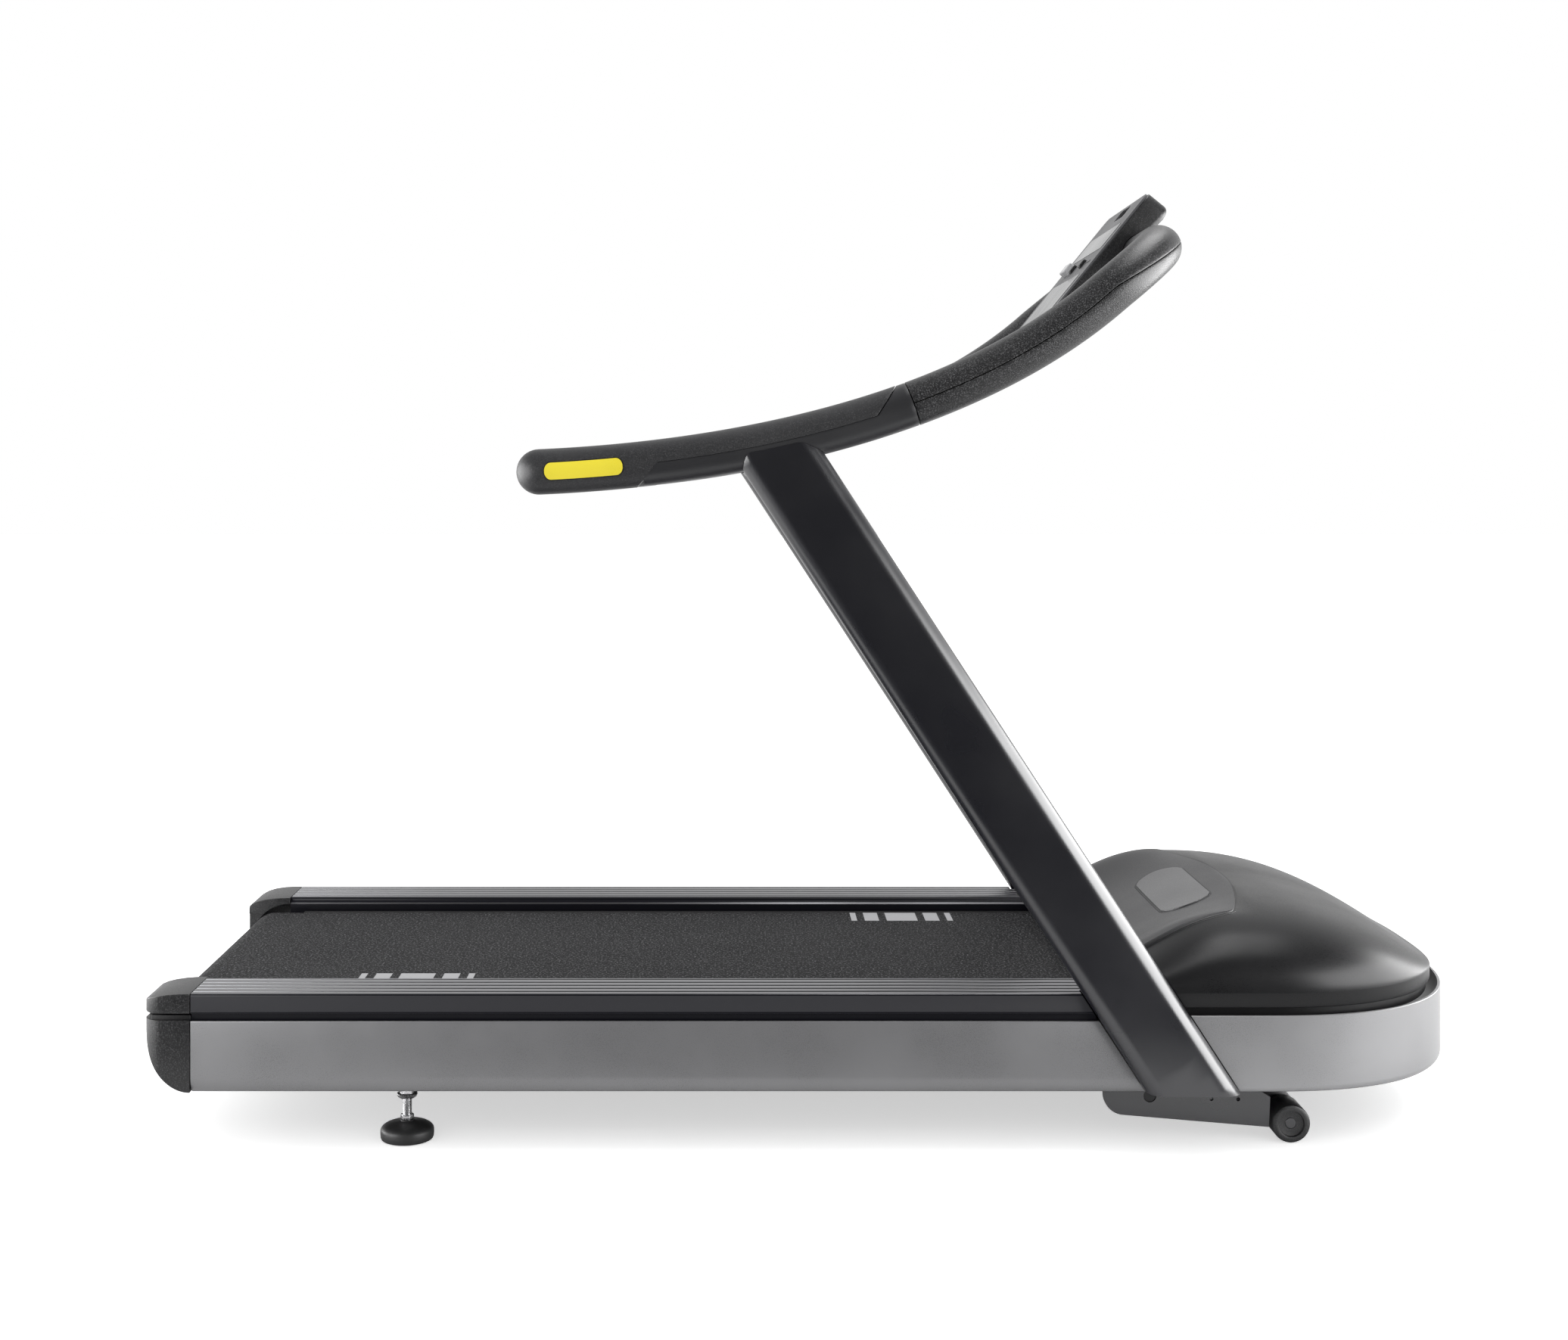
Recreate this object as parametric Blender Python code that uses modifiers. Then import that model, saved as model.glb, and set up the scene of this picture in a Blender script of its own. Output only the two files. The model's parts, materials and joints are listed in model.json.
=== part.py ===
"""A club treadmill: a motor-driven flat belt, two raked uprights and a handrail that sweeps up to a console.

Metres. +X is the way the runner faces, +Y the runner's left, +Z up. The origin is on the floor, under the
middle. Each piece is one object. Left and right pieces come from the same function, with a side of +1 or -1.
"""

import math

import bmesh
import bpy
from mathutils import Matrix, Vector

# Driving dimensions
REAR, NOSE = -1.0, 1.0
HALF_WIDTH = 0.3785  # of the base, over its side panels
BASE_BOTTOM, PANEL_TOP, SHELL_TOP = 0.090, 0.196, 0.2035
RAIL_BOTTOM, RAIL_TOP = 0.207, 0.236
CAP_FRONT = -0.927  # where the rear caps meet the rails
BELT_TOP, BELT_HALF_WIDTH, BELT_THICKNESS = 0.2165, 0.245, 0.0022
GAP = 0.0003  # between pieces that touch
SEAM = 0.002  # between covers

# Rollers and drive
ROLLER_RADIUS = 0.038
BELT_CLEARANCE = 0.0005  # so that a faceted roller can turn inside the belt
ROLLER_Z = BELT_TOP - BELT_THICKNESS - BELT_CLEARANCE - ROLLER_RADIUS
DRIVE_X, IDLER_X = 0.500, -0.945
PULLEY_RADIUS, PULLEY_Y, PULLEY_WIDTH = 0.045, 0.2655, 0.020
MOTOR_X, MOTOR_Z, MOTOR_RADIUS = 0.705, 0.205, 0.062
MOTOR_PULLEY_RADIUS = 0.0275
TRAY_TOP, TRAY_THICKNESS = 0.124, 0.006
SHAFT_RADIUS, SHAFT_END = 0.0125, 0.314  # of the drive roller
BEARING = (0.293, 0.311)  # the two faces of each of its blocks
AXLE_RADIUS, BOLT_Y = 0.0085, 0.298  # the idler's axle, and the bolts through its ends

# Frame
BEAM_INNER, BEAM_OUTER = 0.3265, 0.3573
BEAM_BOTTOM, BEAM_TOP = 0.098, 0.186
CROSS_BOTTOM, CROSS_TOP = 0.146, 0.176
DECK_THICKNESS, DECK_HALF_WIDTH = 0.025, 0.272
DECK_TOP = BELT_TOP - BELT_THICKNESS - 2 * GAP
TUBE_WALL = 0.003
RAIL_INNER, COVER_WALL, LIP = 0.277, 0.0035, 0.026
SLOPE_LOW, SLOPE_HIGH = -0.05, 0.60  # heights between which the covers' sloped ends are cut

# Uprights: a flattened tube, raked back as it rises
RAKE = -0.65  # change of X for each metre of height
UPRIGHT_X0 = 0.6035  # where its centre line would meet the floor
UPRIGHT_WIDTH, UPRIGHT_THICKNESS, UPRIGHT_WALL = 0.114, 0.0455, 0.003
UPRIGHT_Y, UPRIGHT_FOOT = 0.38075, 0.0925
UPRIGHT_LENGTH = 1.30  # before its ends are trimmed
UPRIGHT_INNER = UPRIGHT_Y - UPRIGHT_THICKNESS / 2
RAKE_ANGLE = math.atan(-RAKE)
UPRIGHT_REACH = UPRIGHT_WIDTH / 2 / math.cos(RAKE_ANGLE)  # half its width, measured level

# Handrail
ARM_Y, ARM_RADIUS, CORE_RADIUS = 0.3705, 0.0335, 0.020
ARM_REAR, ARM_BEND = (-0.4150, 1.0010), (0.427, 1.269)
ARM_HANDLES = (-0.10, 1.015), (0.225, 1.090)
BEND_RADIUS = 0.116
GRIP_END, PAD_END, ARM_JOINT = 0.190, 0.535, 0.597  # shares of the arm's curve
PAD_THICKNESS = 0.006
TUBE_FACET = 20  # degrees between the corners of every round section on the handlebar
ARM_STEP = 1 / 16  # share of the arm's curve between its corners

# Console
CONSOLE_TOP = (0.525, 1.444)
CONSOLE_TILT = math.radians(50.9)
CONSOLE_LENGTH, CONSOLE_HALF_WIDTH, CONSOLE_DEPTH, FACE_DEPTH = 0.360, 0.165, 0.043, 0.0032
# Each key: its place down the face and to the right, its width and height, and how far it stands out
KEYS = {
    "stop_button": (0.132, -0.080, 0.044, 0.020, 0.0105),
    "speed_key": (0.135, 0.058, 0.016, 0.016, 0.005),
    "incline_key": (0.135, -0.029, 0.016, 0.016, 0.005),
}

# Lift
PIVOT = (0.493, 0.068)
WHEEL = (0.7025, 0.0285)
WHEEL_RADIUS = 0.0285
CHEEK_INNER, CHEEK_OUTER = 0.3145, 0.3195
WHEEL_INNER, WHEEL_OUTER = 0.2735, 0.3285
ACTUATOR, ACTUATOR_TOP = (0.600, -0.197), 0.276  # its place in plan, and the height that it tilts about

# Rear feet
FOOT_X, FOOT_Y, FOOT_RADIUS, STEM_RADIUS = -0.620, 0.303, 0.040, 0.007

# Hood
HOOD_REAR, HOOD_SHOULDER, HOOD_EDGE, HOOD_LIP, HOOD_SKIRT = 0.405, 0.660, 0.2353, 0.2130, 0.1970
SIDE_FULLNESS, NOSE_FULLNESS = 2.6, 2.3  # how square the nose is in plan
HOOD_HALF_WIDTH, HOOD_THICKNESS = 0.370, 0.0035
HOOD_PEAK, HOOD_CROWN = 0.630, 0.3350  # where the crown is highest, and how high
HOOD_TIP = NOSE - 0.016
VALLEY_LENGTH, VALLEY_HALF_WIDTH, VALLEY_DEPTH = 0.270, 0.260, 0.0295  # the hollow behind the badge
BADGE_X, BADGE_LENGTH, BADGE_WIDTH, BADGE_CLEARANCE = 0.597, 0.076, 0.200, 0.0018

SIDES = {"left": 1, "right": -1}


# Scene


def clear_scene():
    for found in list(bpy.data.objects):
        bpy.data.objects.remove(found)


def new_collection(name):
    made = bpy.data.collections.new(name)
    bpy.context.scene.collection.children.link(made)
    return made


def finish(name, colour, roughness, metallic=0.0):
    made = bpy.data.materials.new(name)
    made.use_nodes = True
    shader = made.node_tree.nodes["Principled BSDF"]
    shader.inputs["Base Color"].default_value = (*colour, 1)
    shader.inputs["Roughness"].default_value = roughness
    shader.inputs["Metallic"].default_value = metallic
    return made


def add(name, mesh, material, smooth=True):
    made = bpy.data.objects.new(name, mesh)
    TREADMILL.objects.link(made)
    mesh.materials.clear()
    mesh.materials.append(material)
    if smooth:
        mesh.shade_smooth()
        mesh.set_sharp_from_angle(angle=math.radians(35))
    return made


def helper(shape):
    """Turns an object into a cutter or a joined-on form, which is not itself a piece."""
    TREADMILL.objects.unlink(shape)
    CUTTERS.objects.link(shape)
    shape.hide_render = True
    shape.display_type = "WIRE"
    return shape


def boolean(target, others, operation):
    for other in others:
        modifier = target.modifiers.new(operation.lower(), "BOOLEAN")
        modifier.operation = operation
        modifier.object = helper(other)
    return target


def cut(target, *others):
    return boolean(target, others, "DIFFERENCE")


def join(target, *others):
    return boolean(target, others, "UNION")


# Shapes


def box(name, low, high, material, bevel=0.0):
    mesh = bpy.data.meshes.new(name)
    shape = bmesh.new()
    size = [b - a for a, b in zip(low, high)]
    centre = Vector([(a + b) / 2 for a, b in zip(low, high)])
    bmesh.ops.create_cube(shape, size=1, matrix=Matrix.Translation(centre) @ Matrix.Diagonal((*size, 1)))
    shape.to_mesh(mesh)
    shape.free()
    made = add(name, mesh, material, smooth=bevel > 0)
    if bevel:
        round_edges(made, bevel)
    return made


def round_edges(target, width, segments=2):
    modifier = target.modifiers.new("rounded edges", "BEVEL")
    modifier.width = width
    modifier.segments = segments
    modifier.angle_limit = math.radians(40)
    return target


def cylinder(name, centre, radius, length, along, material, sides=24):
    """A plain round bar, centred, along X, Y or Z."""
    quarter = math.pi / 2
    turn = {"X": Matrix.Rotation(quarter, 4, "Y"), "Y": Matrix.Rotation(quarter, 4, "X"), "Z": Matrix()}
    mesh = bpy.data.meshes.new(name)
    shape = bmesh.new()
    bmesh.ops.create_cone(
        shape,
        cap_ends=True,
        segments=sides,
        radius1=radius,
        radius2=radius,
        depth=length,
        matrix=Matrix.Translation(centre) @ turn[along],
    )
    shape.to_mesh(mesh)
    shape.free()
    return add(name, mesh, material)


def turned(name, profile, centre, along, material, steps=20):
    """A profile of (radius, height) pairs, from the top down, turned about an axis through centre."""
    mesh = bpy.data.meshes.new(name)
    points = [(radius, 0, height) for radius, height in profile]
    mesh.from_pydata(points, [(i, i + 1) for i in range(len(points) - 1)], [])
    made = add(name, mesh, material, smooth=False)
    made.location = centre
    made.rotation_euler = {"Y": (-math.pi / 2, 0, 0), "-Y": (math.pi / 2, 0, 0), "Z": (0, 0, 0)}[along]
    screw = made.modifiers.new("turned", "SCREW")
    screw.steps = screw.render_steps = steps
    screw.use_merge_vertices = True
    screw.merge_threshold = 1e-5
    screw.use_smooth_shade = True
    return made


def arc(centre, radius, start, end, count):
    """Points of an arc, with angles in degrees."""
    angles = [math.radians(start + (end - start) * i / (count - 1)) for i in range(count)]
    return [(centre[0] + radius * math.cos(a), centre[1] + radius * math.sin(a)) for a in angles]


def curve(name, points, cyclic=False, flat=False):
    data = bpy.data.curves.new(name, "CURVE")
    data.dimensions = "2D" if flat else "3D"
    spline = data.splines.new("POLY")
    spline.points.add(len(points) - 1)
    for point, place in zip(spline.points, points):
        point.co = (*place, 0, 1) if flat else (*place, 1)
    spline.use_cyclic_u = cyclic
    made = bpy.data.objects.new(name, data)
    bpy.context.scene.collection.objects.link(made)
    return made


def solid(shape, material):
    """A curve's evaluated form as a mesh object, with its caps welded on and its faces outward."""
    bpy.context.view_layer.update()
    graph = bpy.context.evaluated_depsgraph_get()
    mesh = bpy.data.meshes.new_from_object(shape.evaluated_get(graph))
    mesh.transform(shape.matrix_world)
    welded = bmesh.new()
    welded.from_mesh(mesh)
    bmesh.ops.remove_doubles(welded, verts=welded.verts, dist=1e-6)
    bmesh.ops.dissolve_limit(welded, angle_limit=math.radians(0.2), verts=welded.verts, edges=welded.edges)
    bmesh.ops.recalc_face_normals(welded, faces=welded.faces)
    welded.to_mesh(mesh)
    welded.free()
    name = shape.name
    bpy.data.objects.remove(shape)
    return add(name, mesh, material)


def extruded(name, outline, along, start, end, material):
    """A closed outline made thick along X (outline in Y, Z), along Y (in X, Z) or along Z (in X, Y)."""
    shape = curve(name, outline, cyclic=True, flat=True)
    shape.data.fill_mode = "BOTH"
    shape.data.extrude = abs(end - start) / 2
    middle = (start + end) / 2
    shape.location = {"X": (middle, 0, 0), "Y": (0, middle, 0), "Z": (0, 0, middle)}[along]
    shape.rotation_euler = {
        "X": (math.pi / 2, 0, math.pi / 2),
        "Y": (math.pi / 2, 0, 0),
        "Z": (0, 0, 0),
    }[along]
    return solid(shape, material)


def rod(name, path, radius, material, shares=None, resolution=7):
    """A round bar along a path, thinned at each point by shares of its radius."""
    shape = curve(name, path)
    shape.data.bevel_depth = radius
    shape.data.bevel_resolution = resolution
    shape.data.use_fill_caps = True
    shape.data.twist_mode = "Z_UP"
    for point, share in zip(shape.data.splines[0].points, shares or []):
        point.radius = share
    return solid(shape, material)


def swept(name, path, profile, material, shares=None):
    """A closed profile (across, up) carried along a path, upright all the way."""
    section = curve(name + " profile", profile, cyclic=True, flat=True)
    shape = curve(name, path)
    shape.data.bevel_mode = "OBJECT"
    shape.data.bevel_object = section
    shape.data.use_fill_caps = True
    shape.data.twist_mode = "Z_UP"
    for point, share in zip(shape.data.splines[0].points, shares or []):
        point.radius = share
    made = solid(shape, material)
    bpy.data.objects.remove(section)
    return made


def steps_between(start, end, step):
    """Both ends and every multiple of the step between them, so that pieces that nest share their corners."""
    first, last = math.floor(start / step + 1e-6) + 1, math.ceil(end / step - 1e-6)
    return [start] + [i * step for i in range(first, last)] + [end]


def ring(inner, outer, start, end):
    """A closed profile: the part of a round wall between two angles."""
    angles = [math.radians(a) for a in steps_between(start, end, TUBE_FACET)]
    wall = [(outer * math.cos(a), outer * math.sin(a)) for a in angles]
    return wall + [(inner * math.cos(a), inner * math.sin(a)) for a in reversed(angles)]


# Where the covers stop for the uprights


def upright_x(z):
    return UPRIGHT_X0 + RAKE * z


def slanted_block(name, ahead, far, side, inner):
    """A block from the upright's slope, ahead of its centre line by the distance given, to a far X."""
    low, high = SLOPE_LOW, SLOPE_HIGH
    outline = [(far, low), (upright_x(low) + ahead, low), (upright_x(high) + ahead, high), (far, high)]
    start, end = sorted((side * inner, side * 0.6))
    return extruded(name, outline, "Y", start, end, PAINT)


def block_ahead(name, side, inner=0.0):
    """What a cover behind the upright loses to it and to everything ahead of it."""
    return slanted_block(name, -UPRIGHT_REACH - SEAM, NOSE + 0.3, side, inner)


def block_behind(name, side, inner):
    """What a cover ahead of the upright loses to it and to everything behind it."""
    return slanted_block(name, UPRIGHT_REACH + SEAM, REAR + 0.4, side, inner)


# Frame


def main_beam(name, side):
    """A rectangular steel tube, open at both ends."""
    rear, front, wall = -0.905, 0.776, TUBE_WALL
    low, high = sorted((side * BEAM_INNER, side * BEAM_OUTER))
    beam = box(f"main_beam_{name}", (rear, low, BEAM_BOTTOM), (front, high, BEAM_TOP), PAINT)
    inside = (rear - 0.05, low + wall, BEAM_BOTTOM + wall), (front + 0.05, high - wall, BEAM_TOP - wall)
    return cut(beam, box(f"beam hollow {name}", *inside, PAINT))


def cross_member(name, x):
    """A tube from beam to beam between the two runs of the belt."""
    half, reach, wall = 0.020, BEAM_INNER - GAP, TUBE_WALL
    member = box(name, (x - half, -reach, CROSS_BOTTOM), (x + half, reach, CROSS_TOP), PAINT)
    low, high = (x - half + wall, -0.4, CROSS_BOTTOM + wall), (x + half - wall, 0.4, CROSS_TOP - wall)
    return cut(member, box(f"{name} hollow", low, high, PAINT))


def foot_brackets(member, x):
    """Adds the blocks under a cross member that the levelling feet screw into."""
    half, bottom = 0.026, 0.0985
    for side in (1, -1):
        start, end = sorted((side * 0.281, side * (BEAM_INNER - GAP - 0.0005)))
        low, high = (x - half, start, bottom), (x + half, end, CROSS_BOTTOM + TUBE_WALL / 2)
        join(member, box(f"foot bracket {side}", low, high, PAINT))
    for side in (1, -1):
        place = (x, side * FOOT_Y, bottom)
        cut(member, cylinder(f"foot bore {side}", place, STEM_RADIUS + 0.0006, 0.12, "Z", PAINT))
    return member


def motor_tray():
    """The plate that carries the motor, with lugs for the lift's pivot rod and a post for its actuator."""
    bottom = TRAY_TOP - TRAY_THICKNESS
    reach, narrow = BEAM_INNER - GAP, 0.306
    outline = [(0.455, -narrow), (0.60, -narrow), (0.60, -reach), (0.79, -reach), (0.905, -0.24)]
    outline += [(x, -y) for x, y in reversed(outline)]
    tray = extruded("motor_tray", outline, "Z", bottom, TRAY_TOP, PAINT)
    for side in (1, -1):
        start, end = sorted((side * 0.284, side * 0.292))
        lug = [(0.455, bottom + 0.003), (0.466, PIVOT[1])]
        lug += arc(PIVOT, 0.024, 190, 350, 9) + [(0.521, PIVOT[1]), (0.535, bottom + 0.003)]
        join(tray, extruded(f"pivot lug {side}", lug, "Y", start, end, PAINT))
        hole = cylinder(f"pivot hole {side}", (PIVOT[0], side * 0.288, PIVOT[1]), 0.0095, 0.03, "Y", PAINT)
        cut(tray, hole)
    x, y = ACTUATOR
    low, high = (x + 0.040, y - 0.030, TRAY_TOP - 0.002), (x + 0.046, y + 0.030, 0.296)
    post = box("actuator post", low, high, PAINT)
    join(tray, post, box("post top", (x - 0.015, y - 0.012, 0.284), (x + 0.043, y + 0.012, 0.290), PAINT))
    window = box("actuator window", (x - 0.056, y - 0.035, 0.110), (x + 0.026, y + 0.035, 0.130), PAINT)
    return cut(tray, window)


# Running surface


def deck():
    low, high = (-0.898, -DECK_HALF_WIDTH, DECK_TOP - DECK_THICKNESS), (0.452, DECK_HALF_WIDTH, DECK_TOP)
    return box("running_deck", low, high, DECK)


def deck_cushion(name, x):
    """A rubber strip between a cross member and the deck, bulged along its sides."""
    low, high, half, bulge = CROSS_TOP + GAP, DECK_TOP - DECK_THICKNESS - GAP, 0.014, 0.003
    middle = (low + high) / 2
    outline = [(x - half, low), (x + half, low), (x + half + bulge, middle)]
    outline += [(x + half, high), (x - half, high), (x - half - bulge, middle)]
    return extruded(f"deck_cushion_{name}", outline, "Y", -0.240, 0.240, RUBBER)


def running_belt():
    """One endless loop round both rollers."""
    inner = ROLLER_RADIUS + BELT_CLEARANCE
    outer = inner + BELT_THICKNESS
    parts = []
    for radius, stretch in ((outer, 0.0), (inner, 0.01)):
        outline = arc((DRIVE_X, ROLLER_Z), radius, -90, 90, 17)
        outline += arc((IDLER_X, ROLLER_Z), radius, 90, 270, 17)
        half = BELT_HALF_WIDTH + stretch
        label = "running belt inside" if stretch else "running_belt"
        parts.append(extruded(label, outline, "Y", -half, half, BELT))
    return cut(*parts)


def drive_roller():
    half = BELT_HALF_WIDTH + 0.002
    profile = [(0, SHAFT_END), (SHAFT_RADIUS, SHAFT_END), (SHAFT_RADIUS, half), (ROLLER_RADIUS, half)]
    profile += [(radius, -height) for radius, height in reversed(profile)]
    return turned("drive_roller", profile, (DRIVE_X, 0, ROLLER_Z), "Y", STEEL)


def idler_roller():
    """It turns on a fixed axle, so it has a bore right through."""
    half = BELT_HALF_WIDTH + 0.002
    place = (IDLER_X, 0, ROLLER_Z)
    roller = cylinder("idler_roller", place, ROLLER_RADIUS, 2 * half, "Y", STEEL, sides=32)
    return cut(roller, cylinder("idler bore", place, AXLE_RADIUS + GAP, 0.6, "Y", STEEL, sides=24))


def idler_axle():
    half = 0.320
    axle = cylinder("idler_axle", (IDLER_X, 0, ROLLER_Z), AXLE_RADIUS, 2 * half, "Y", STEEL, sides=24)
    for side in (1, -1):
        place = (IDLER_X, side * BOLT_Y, ROLLER_Z)
        cut(axle, cylinder(f"axle hole {side}", place, 0.0046, 0.05, "X", STEEL, sides=12))
    return axle


def tension_bolt(name, side):
    """It draws the idler's axle back to tighten the belt."""
    y = side * BOLT_Y
    bolt = cylinder(f"tension_bolt_{name}", (-0.926, y, ROLLER_Z), 0.004, 0.092, "X", STEEL, sides=12)
    head = cylinder(f"bolt head {name}", (-0.975, y, ROLLER_Z), 0.0075, 0.008, "X", STEEL, sides=6)
    return join(bolt, head)


def bearing_block(name, side):
    """A cast housing that carries one end of the drive roller's shaft on the tray."""
    start, end = sorted(side * face for face in BEARING)
    half = 0.034
    outline = [(DRIVE_X - half, TRAY_TOP + GAP), (DRIVE_X + half, TRAY_TOP + GAP)]
    outline += arc((DRIVE_X, ROLLER_Z), 0.027, -20, 200, 11)
    block = extruded(f"roller_bearing_{name}", outline, "Y", start, end, IRON)
    place = (DRIVE_X, (start + end) / 2, ROLLER_Z)
    return cut(block, cylinder(f"bearing bore {name}", place, SHAFT_RADIUS + GAP, 0.06, "Y", IRON))


# Drive


def pulley(name, x, z, radius, bore):
    """A grooved pulley with a flange on each side."""
    half, rim = PULLEY_WIDTH / 2, 0.003
    profile = [(bore, half), (radius + rim, half), (radius + rim, half - 0.002), (radius, half - 0.003)]
    profile += [(r, -h) for r, h in reversed(profile)]
    made = turned(name, profile, (x, PULLEY_Y, z), "Y", IRON, steps=24)
    made.data.edges.add(1)
    made.data.edges[-1].vertices = (len(profile) - 1, 0)
    return made


def motor_belt():
    """The ribbed drive belt, drawn as one closed loop that is tangent to both pulleys."""
    dx, dz = MOTOR_X - DRIVE_X, MOTOR_Z - ROLLER_Z
    span = math.hypot(dx, dz)
    base = math.degrees(math.atan2(dz, dx))
    lean = math.degrees(math.acos((PULLEY_RADIUS - MOTOR_PULLEY_RADIUS) / span))
    half = PULLEY_WIDTH / 2 - 0.0035
    parts = []
    for grow, stretch in ((0.0030, 0.0), (0.0006, 0.01)):
        outline = arc((DRIVE_X, ROLLER_Z), PULLEY_RADIUS + grow, base + lean, base + 360 - lean, 17)
        outline += arc((MOTOR_X, MOTOR_Z), MOTOR_PULLEY_RADIUS + grow, base - lean, base + lean, 11)
        low, high = PULLEY_Y - half - stretch, PULLEY_Y + half + stretch
        label = "motor belt inside" if stretch else "motor_belt"
        parts.append(extruded(label, outline, "Y", low, high, RUBBER))
    return cut(*parts)


def drive_motor():
    """The motor's body on its cast feet, with a bore for the shaft."""
    front, back, hub, shoulder, edge = 0.225, -0.085, 0.030, 0.014, 0.008
    profile = [(0, front), (hub, front), (hub + 0.004, front - 0.012)]
    profile += [(MOTOR_RADIUS - 0.004, front - shoulder), (MOTOR_RADIUS, front - shoulder - 0.006)]
    profile += [(MOTOR_RADIUS, back + edge)]
    profile += [(MOTOR_RADIUS - edge, back), (0, back)]
    motor = turned("drive_motor", profile, (MOTOR_X, 0, MOTOR_Z), "Y", IRON, steps=24)
    foot_half, foot_length, foot_top = 0.052, 0.035, 0.165
    for y in (-0.030, 0.150):
        low, high = (MOTOR_X - foot_half, y, TRAY_TOP + GAP), (MOTOR_X + foot_half, y + foot_length, foot_top)
        join(motor, box(f"motor foot {y}", low, high, IRON))
    return cut(motor, cylinder("motor bore", (MOTOR_X, 0.205, MOTOR_Z), 0.0096, 0.06, "Y", IRON, sides=20))


def motor_pulley():
    """The pulley and the shaft that it is keyed to."""
    made = cylinder("motor_pulley", (MOTOR_X, PULLEY_Y, MOTOR_Z), MOTOR_PULLEY_RADIUS, 0.0165, "Y", IRON)
    for edge in (1, -1):
        place = (MOTOR_X, PULLEY_Y + edge * 0.009, MOTOR_Z)
        join(made, cylinder(f"pulley flange {edge}", place, MOTOR_PULLEY_RADIUS + 0.0035, 0.002, "Y", IRON))
    return join(made, cylinder("motor shaft", (MOTOR_X, 0.226, MOTOR_Z), 0.009, 0.090, "Y", STEEL, sides=20))


def motor_controller():
    rear, front, half, top = 0.800, 0.890, 0.150, 0.176
    made = box("motor_controller", (rear, -half, TRAY_TOP + GAP), (front, half, top), IRON)
    gaps, gap_depth, gap_half = 9, 0.024, 0.010
    for i in range(gaps):
        y = (half - 0.020) * (2 * i / (gaps - 1) - 1)
        low, high = (rear - 0.01, y - gap_half, top - gap_depth), (front + 0.01, y + gap_half, top + 0.01)
        cut(made, box(f"fin gap {i}", low, high, IRON))
    return made


def mains_inlet():
    """A socket for a mains lead, facing down and forward under the front of the tray."""
    top = TRAY_TOP - TRAY_THICKNESS - GAP
    body = box("mains_inlet", (0.846, 0.110, 0.0935), (0.890, 0.170, top), PLASTIC, bevel=0.002)
    return cut(body, box("inlet recess", (0.858, 0.120, 0.0963), (0.920, 0.160, 0.1125), PLASTIC))


# Covers


def foot_rail(name, side):
    """An aluminium extrusion: a ribbed top, a plain side band, and a leg inside the dark gap below it."""
    outer, corner, foot = HALF_WIDTH, 0.004, BEAM_TOP + GAP
    leg_inner, leg_outer, web = 0.332, 0.3722, RAIL_BOTTOM + 0.0015
    grooves, first, pitch, depth = 5, 0.0115, 0.0175, 0.003
    points = [(leg_inner, foot), (leg_outer, foot), (leg_outer, RAIL_BOTTOM), (outer, RAIL_BOTTOM)]
    points += arc((outer - corner, RAIL_TOP - corner), corner, 0, 90, 4)
    for i in range(grooves):
        y = outer - first - i * pitch
        points += [(y - inward, RAIL_TOP - down) for inward, down in ((0, 0), (0.001, depth))]
        points += [(y - inward, RAIL_TOP - down) for inward, down in ((0.0035, depth), (0.0045, 0))]
    points += [(RAIL_INNER + 0.012, RAIL_TOP), (RAIL_INNER, RAIL_TOP - 0.012)]
    points += [(RAIL_INNER, web), (leg_inner, web)]
    outline = [(side * y, z) for y, z in points]
    rail = extruded(f"foot_rail_{name}", outline, "X", CAP_FRONT + GAP, HOOD_REAR - SEAM, ALUMINIUM)
    return cut(rail, block_ahead(f"rail end {name}", side, UPRIGHT_INNER - SEAM))


def side_panel(name, side):
    """The silver cover along the base, with a rounded foot that turns in under the frame."""
    wall, foot, edge = COVER_WALL, 0.012, 0.002
    centre = (HALF_WIDTH - foot, BASE_BOTTOM + foot)
    points = arc((HALF_WIDTH - edge, PANEL_TOP - edge), edge, 90, 0, 3) + arc(centre, foot, 0, -90, 6)
    points += [(HALF_WIDTH - LIP - 0.0005, BASE_BOTTOM), (HALF_WIDTH - LIP - 0.0005, BASE_BOTTOM + wall)]
    points += arc(centre, foot - wall, -90, 0, 6) + [(HALF_WIDTH - wall, PANEL_TOP)]
    outline = [(side * y, z) for y, z in points]
    panel = extruded(f"side_panel_{name}", outline, "X", CAP_FRONT + GAP, 0.56, SILVER)
    return cut(panel, block_ahead(f"panel end {name}", side))


def nose_outline(inset, rear):
    """The plan of the front cover: straight sides that close in a full, rounded nose."""
    half, length = HALF_WIDTH - inset, NOSE - HOOD_SHOULDER - inset
    outline = [(rear, -half)]
    for turn in steps_between(-90, 90, 180 / 28):
        ahead, across = max(0.0, math.cos(math.radians(turn))), math.sin(math.radians(turn))
        x = HOOD_SHOULDER + length * ahead ** (2 / NOSE_FULLNESS)
        outline.append((x, half * math.copysign(abs(across) ** (2 / SIDE_FULLNESS), across)))
    return outline + [(rear, half)]


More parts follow.
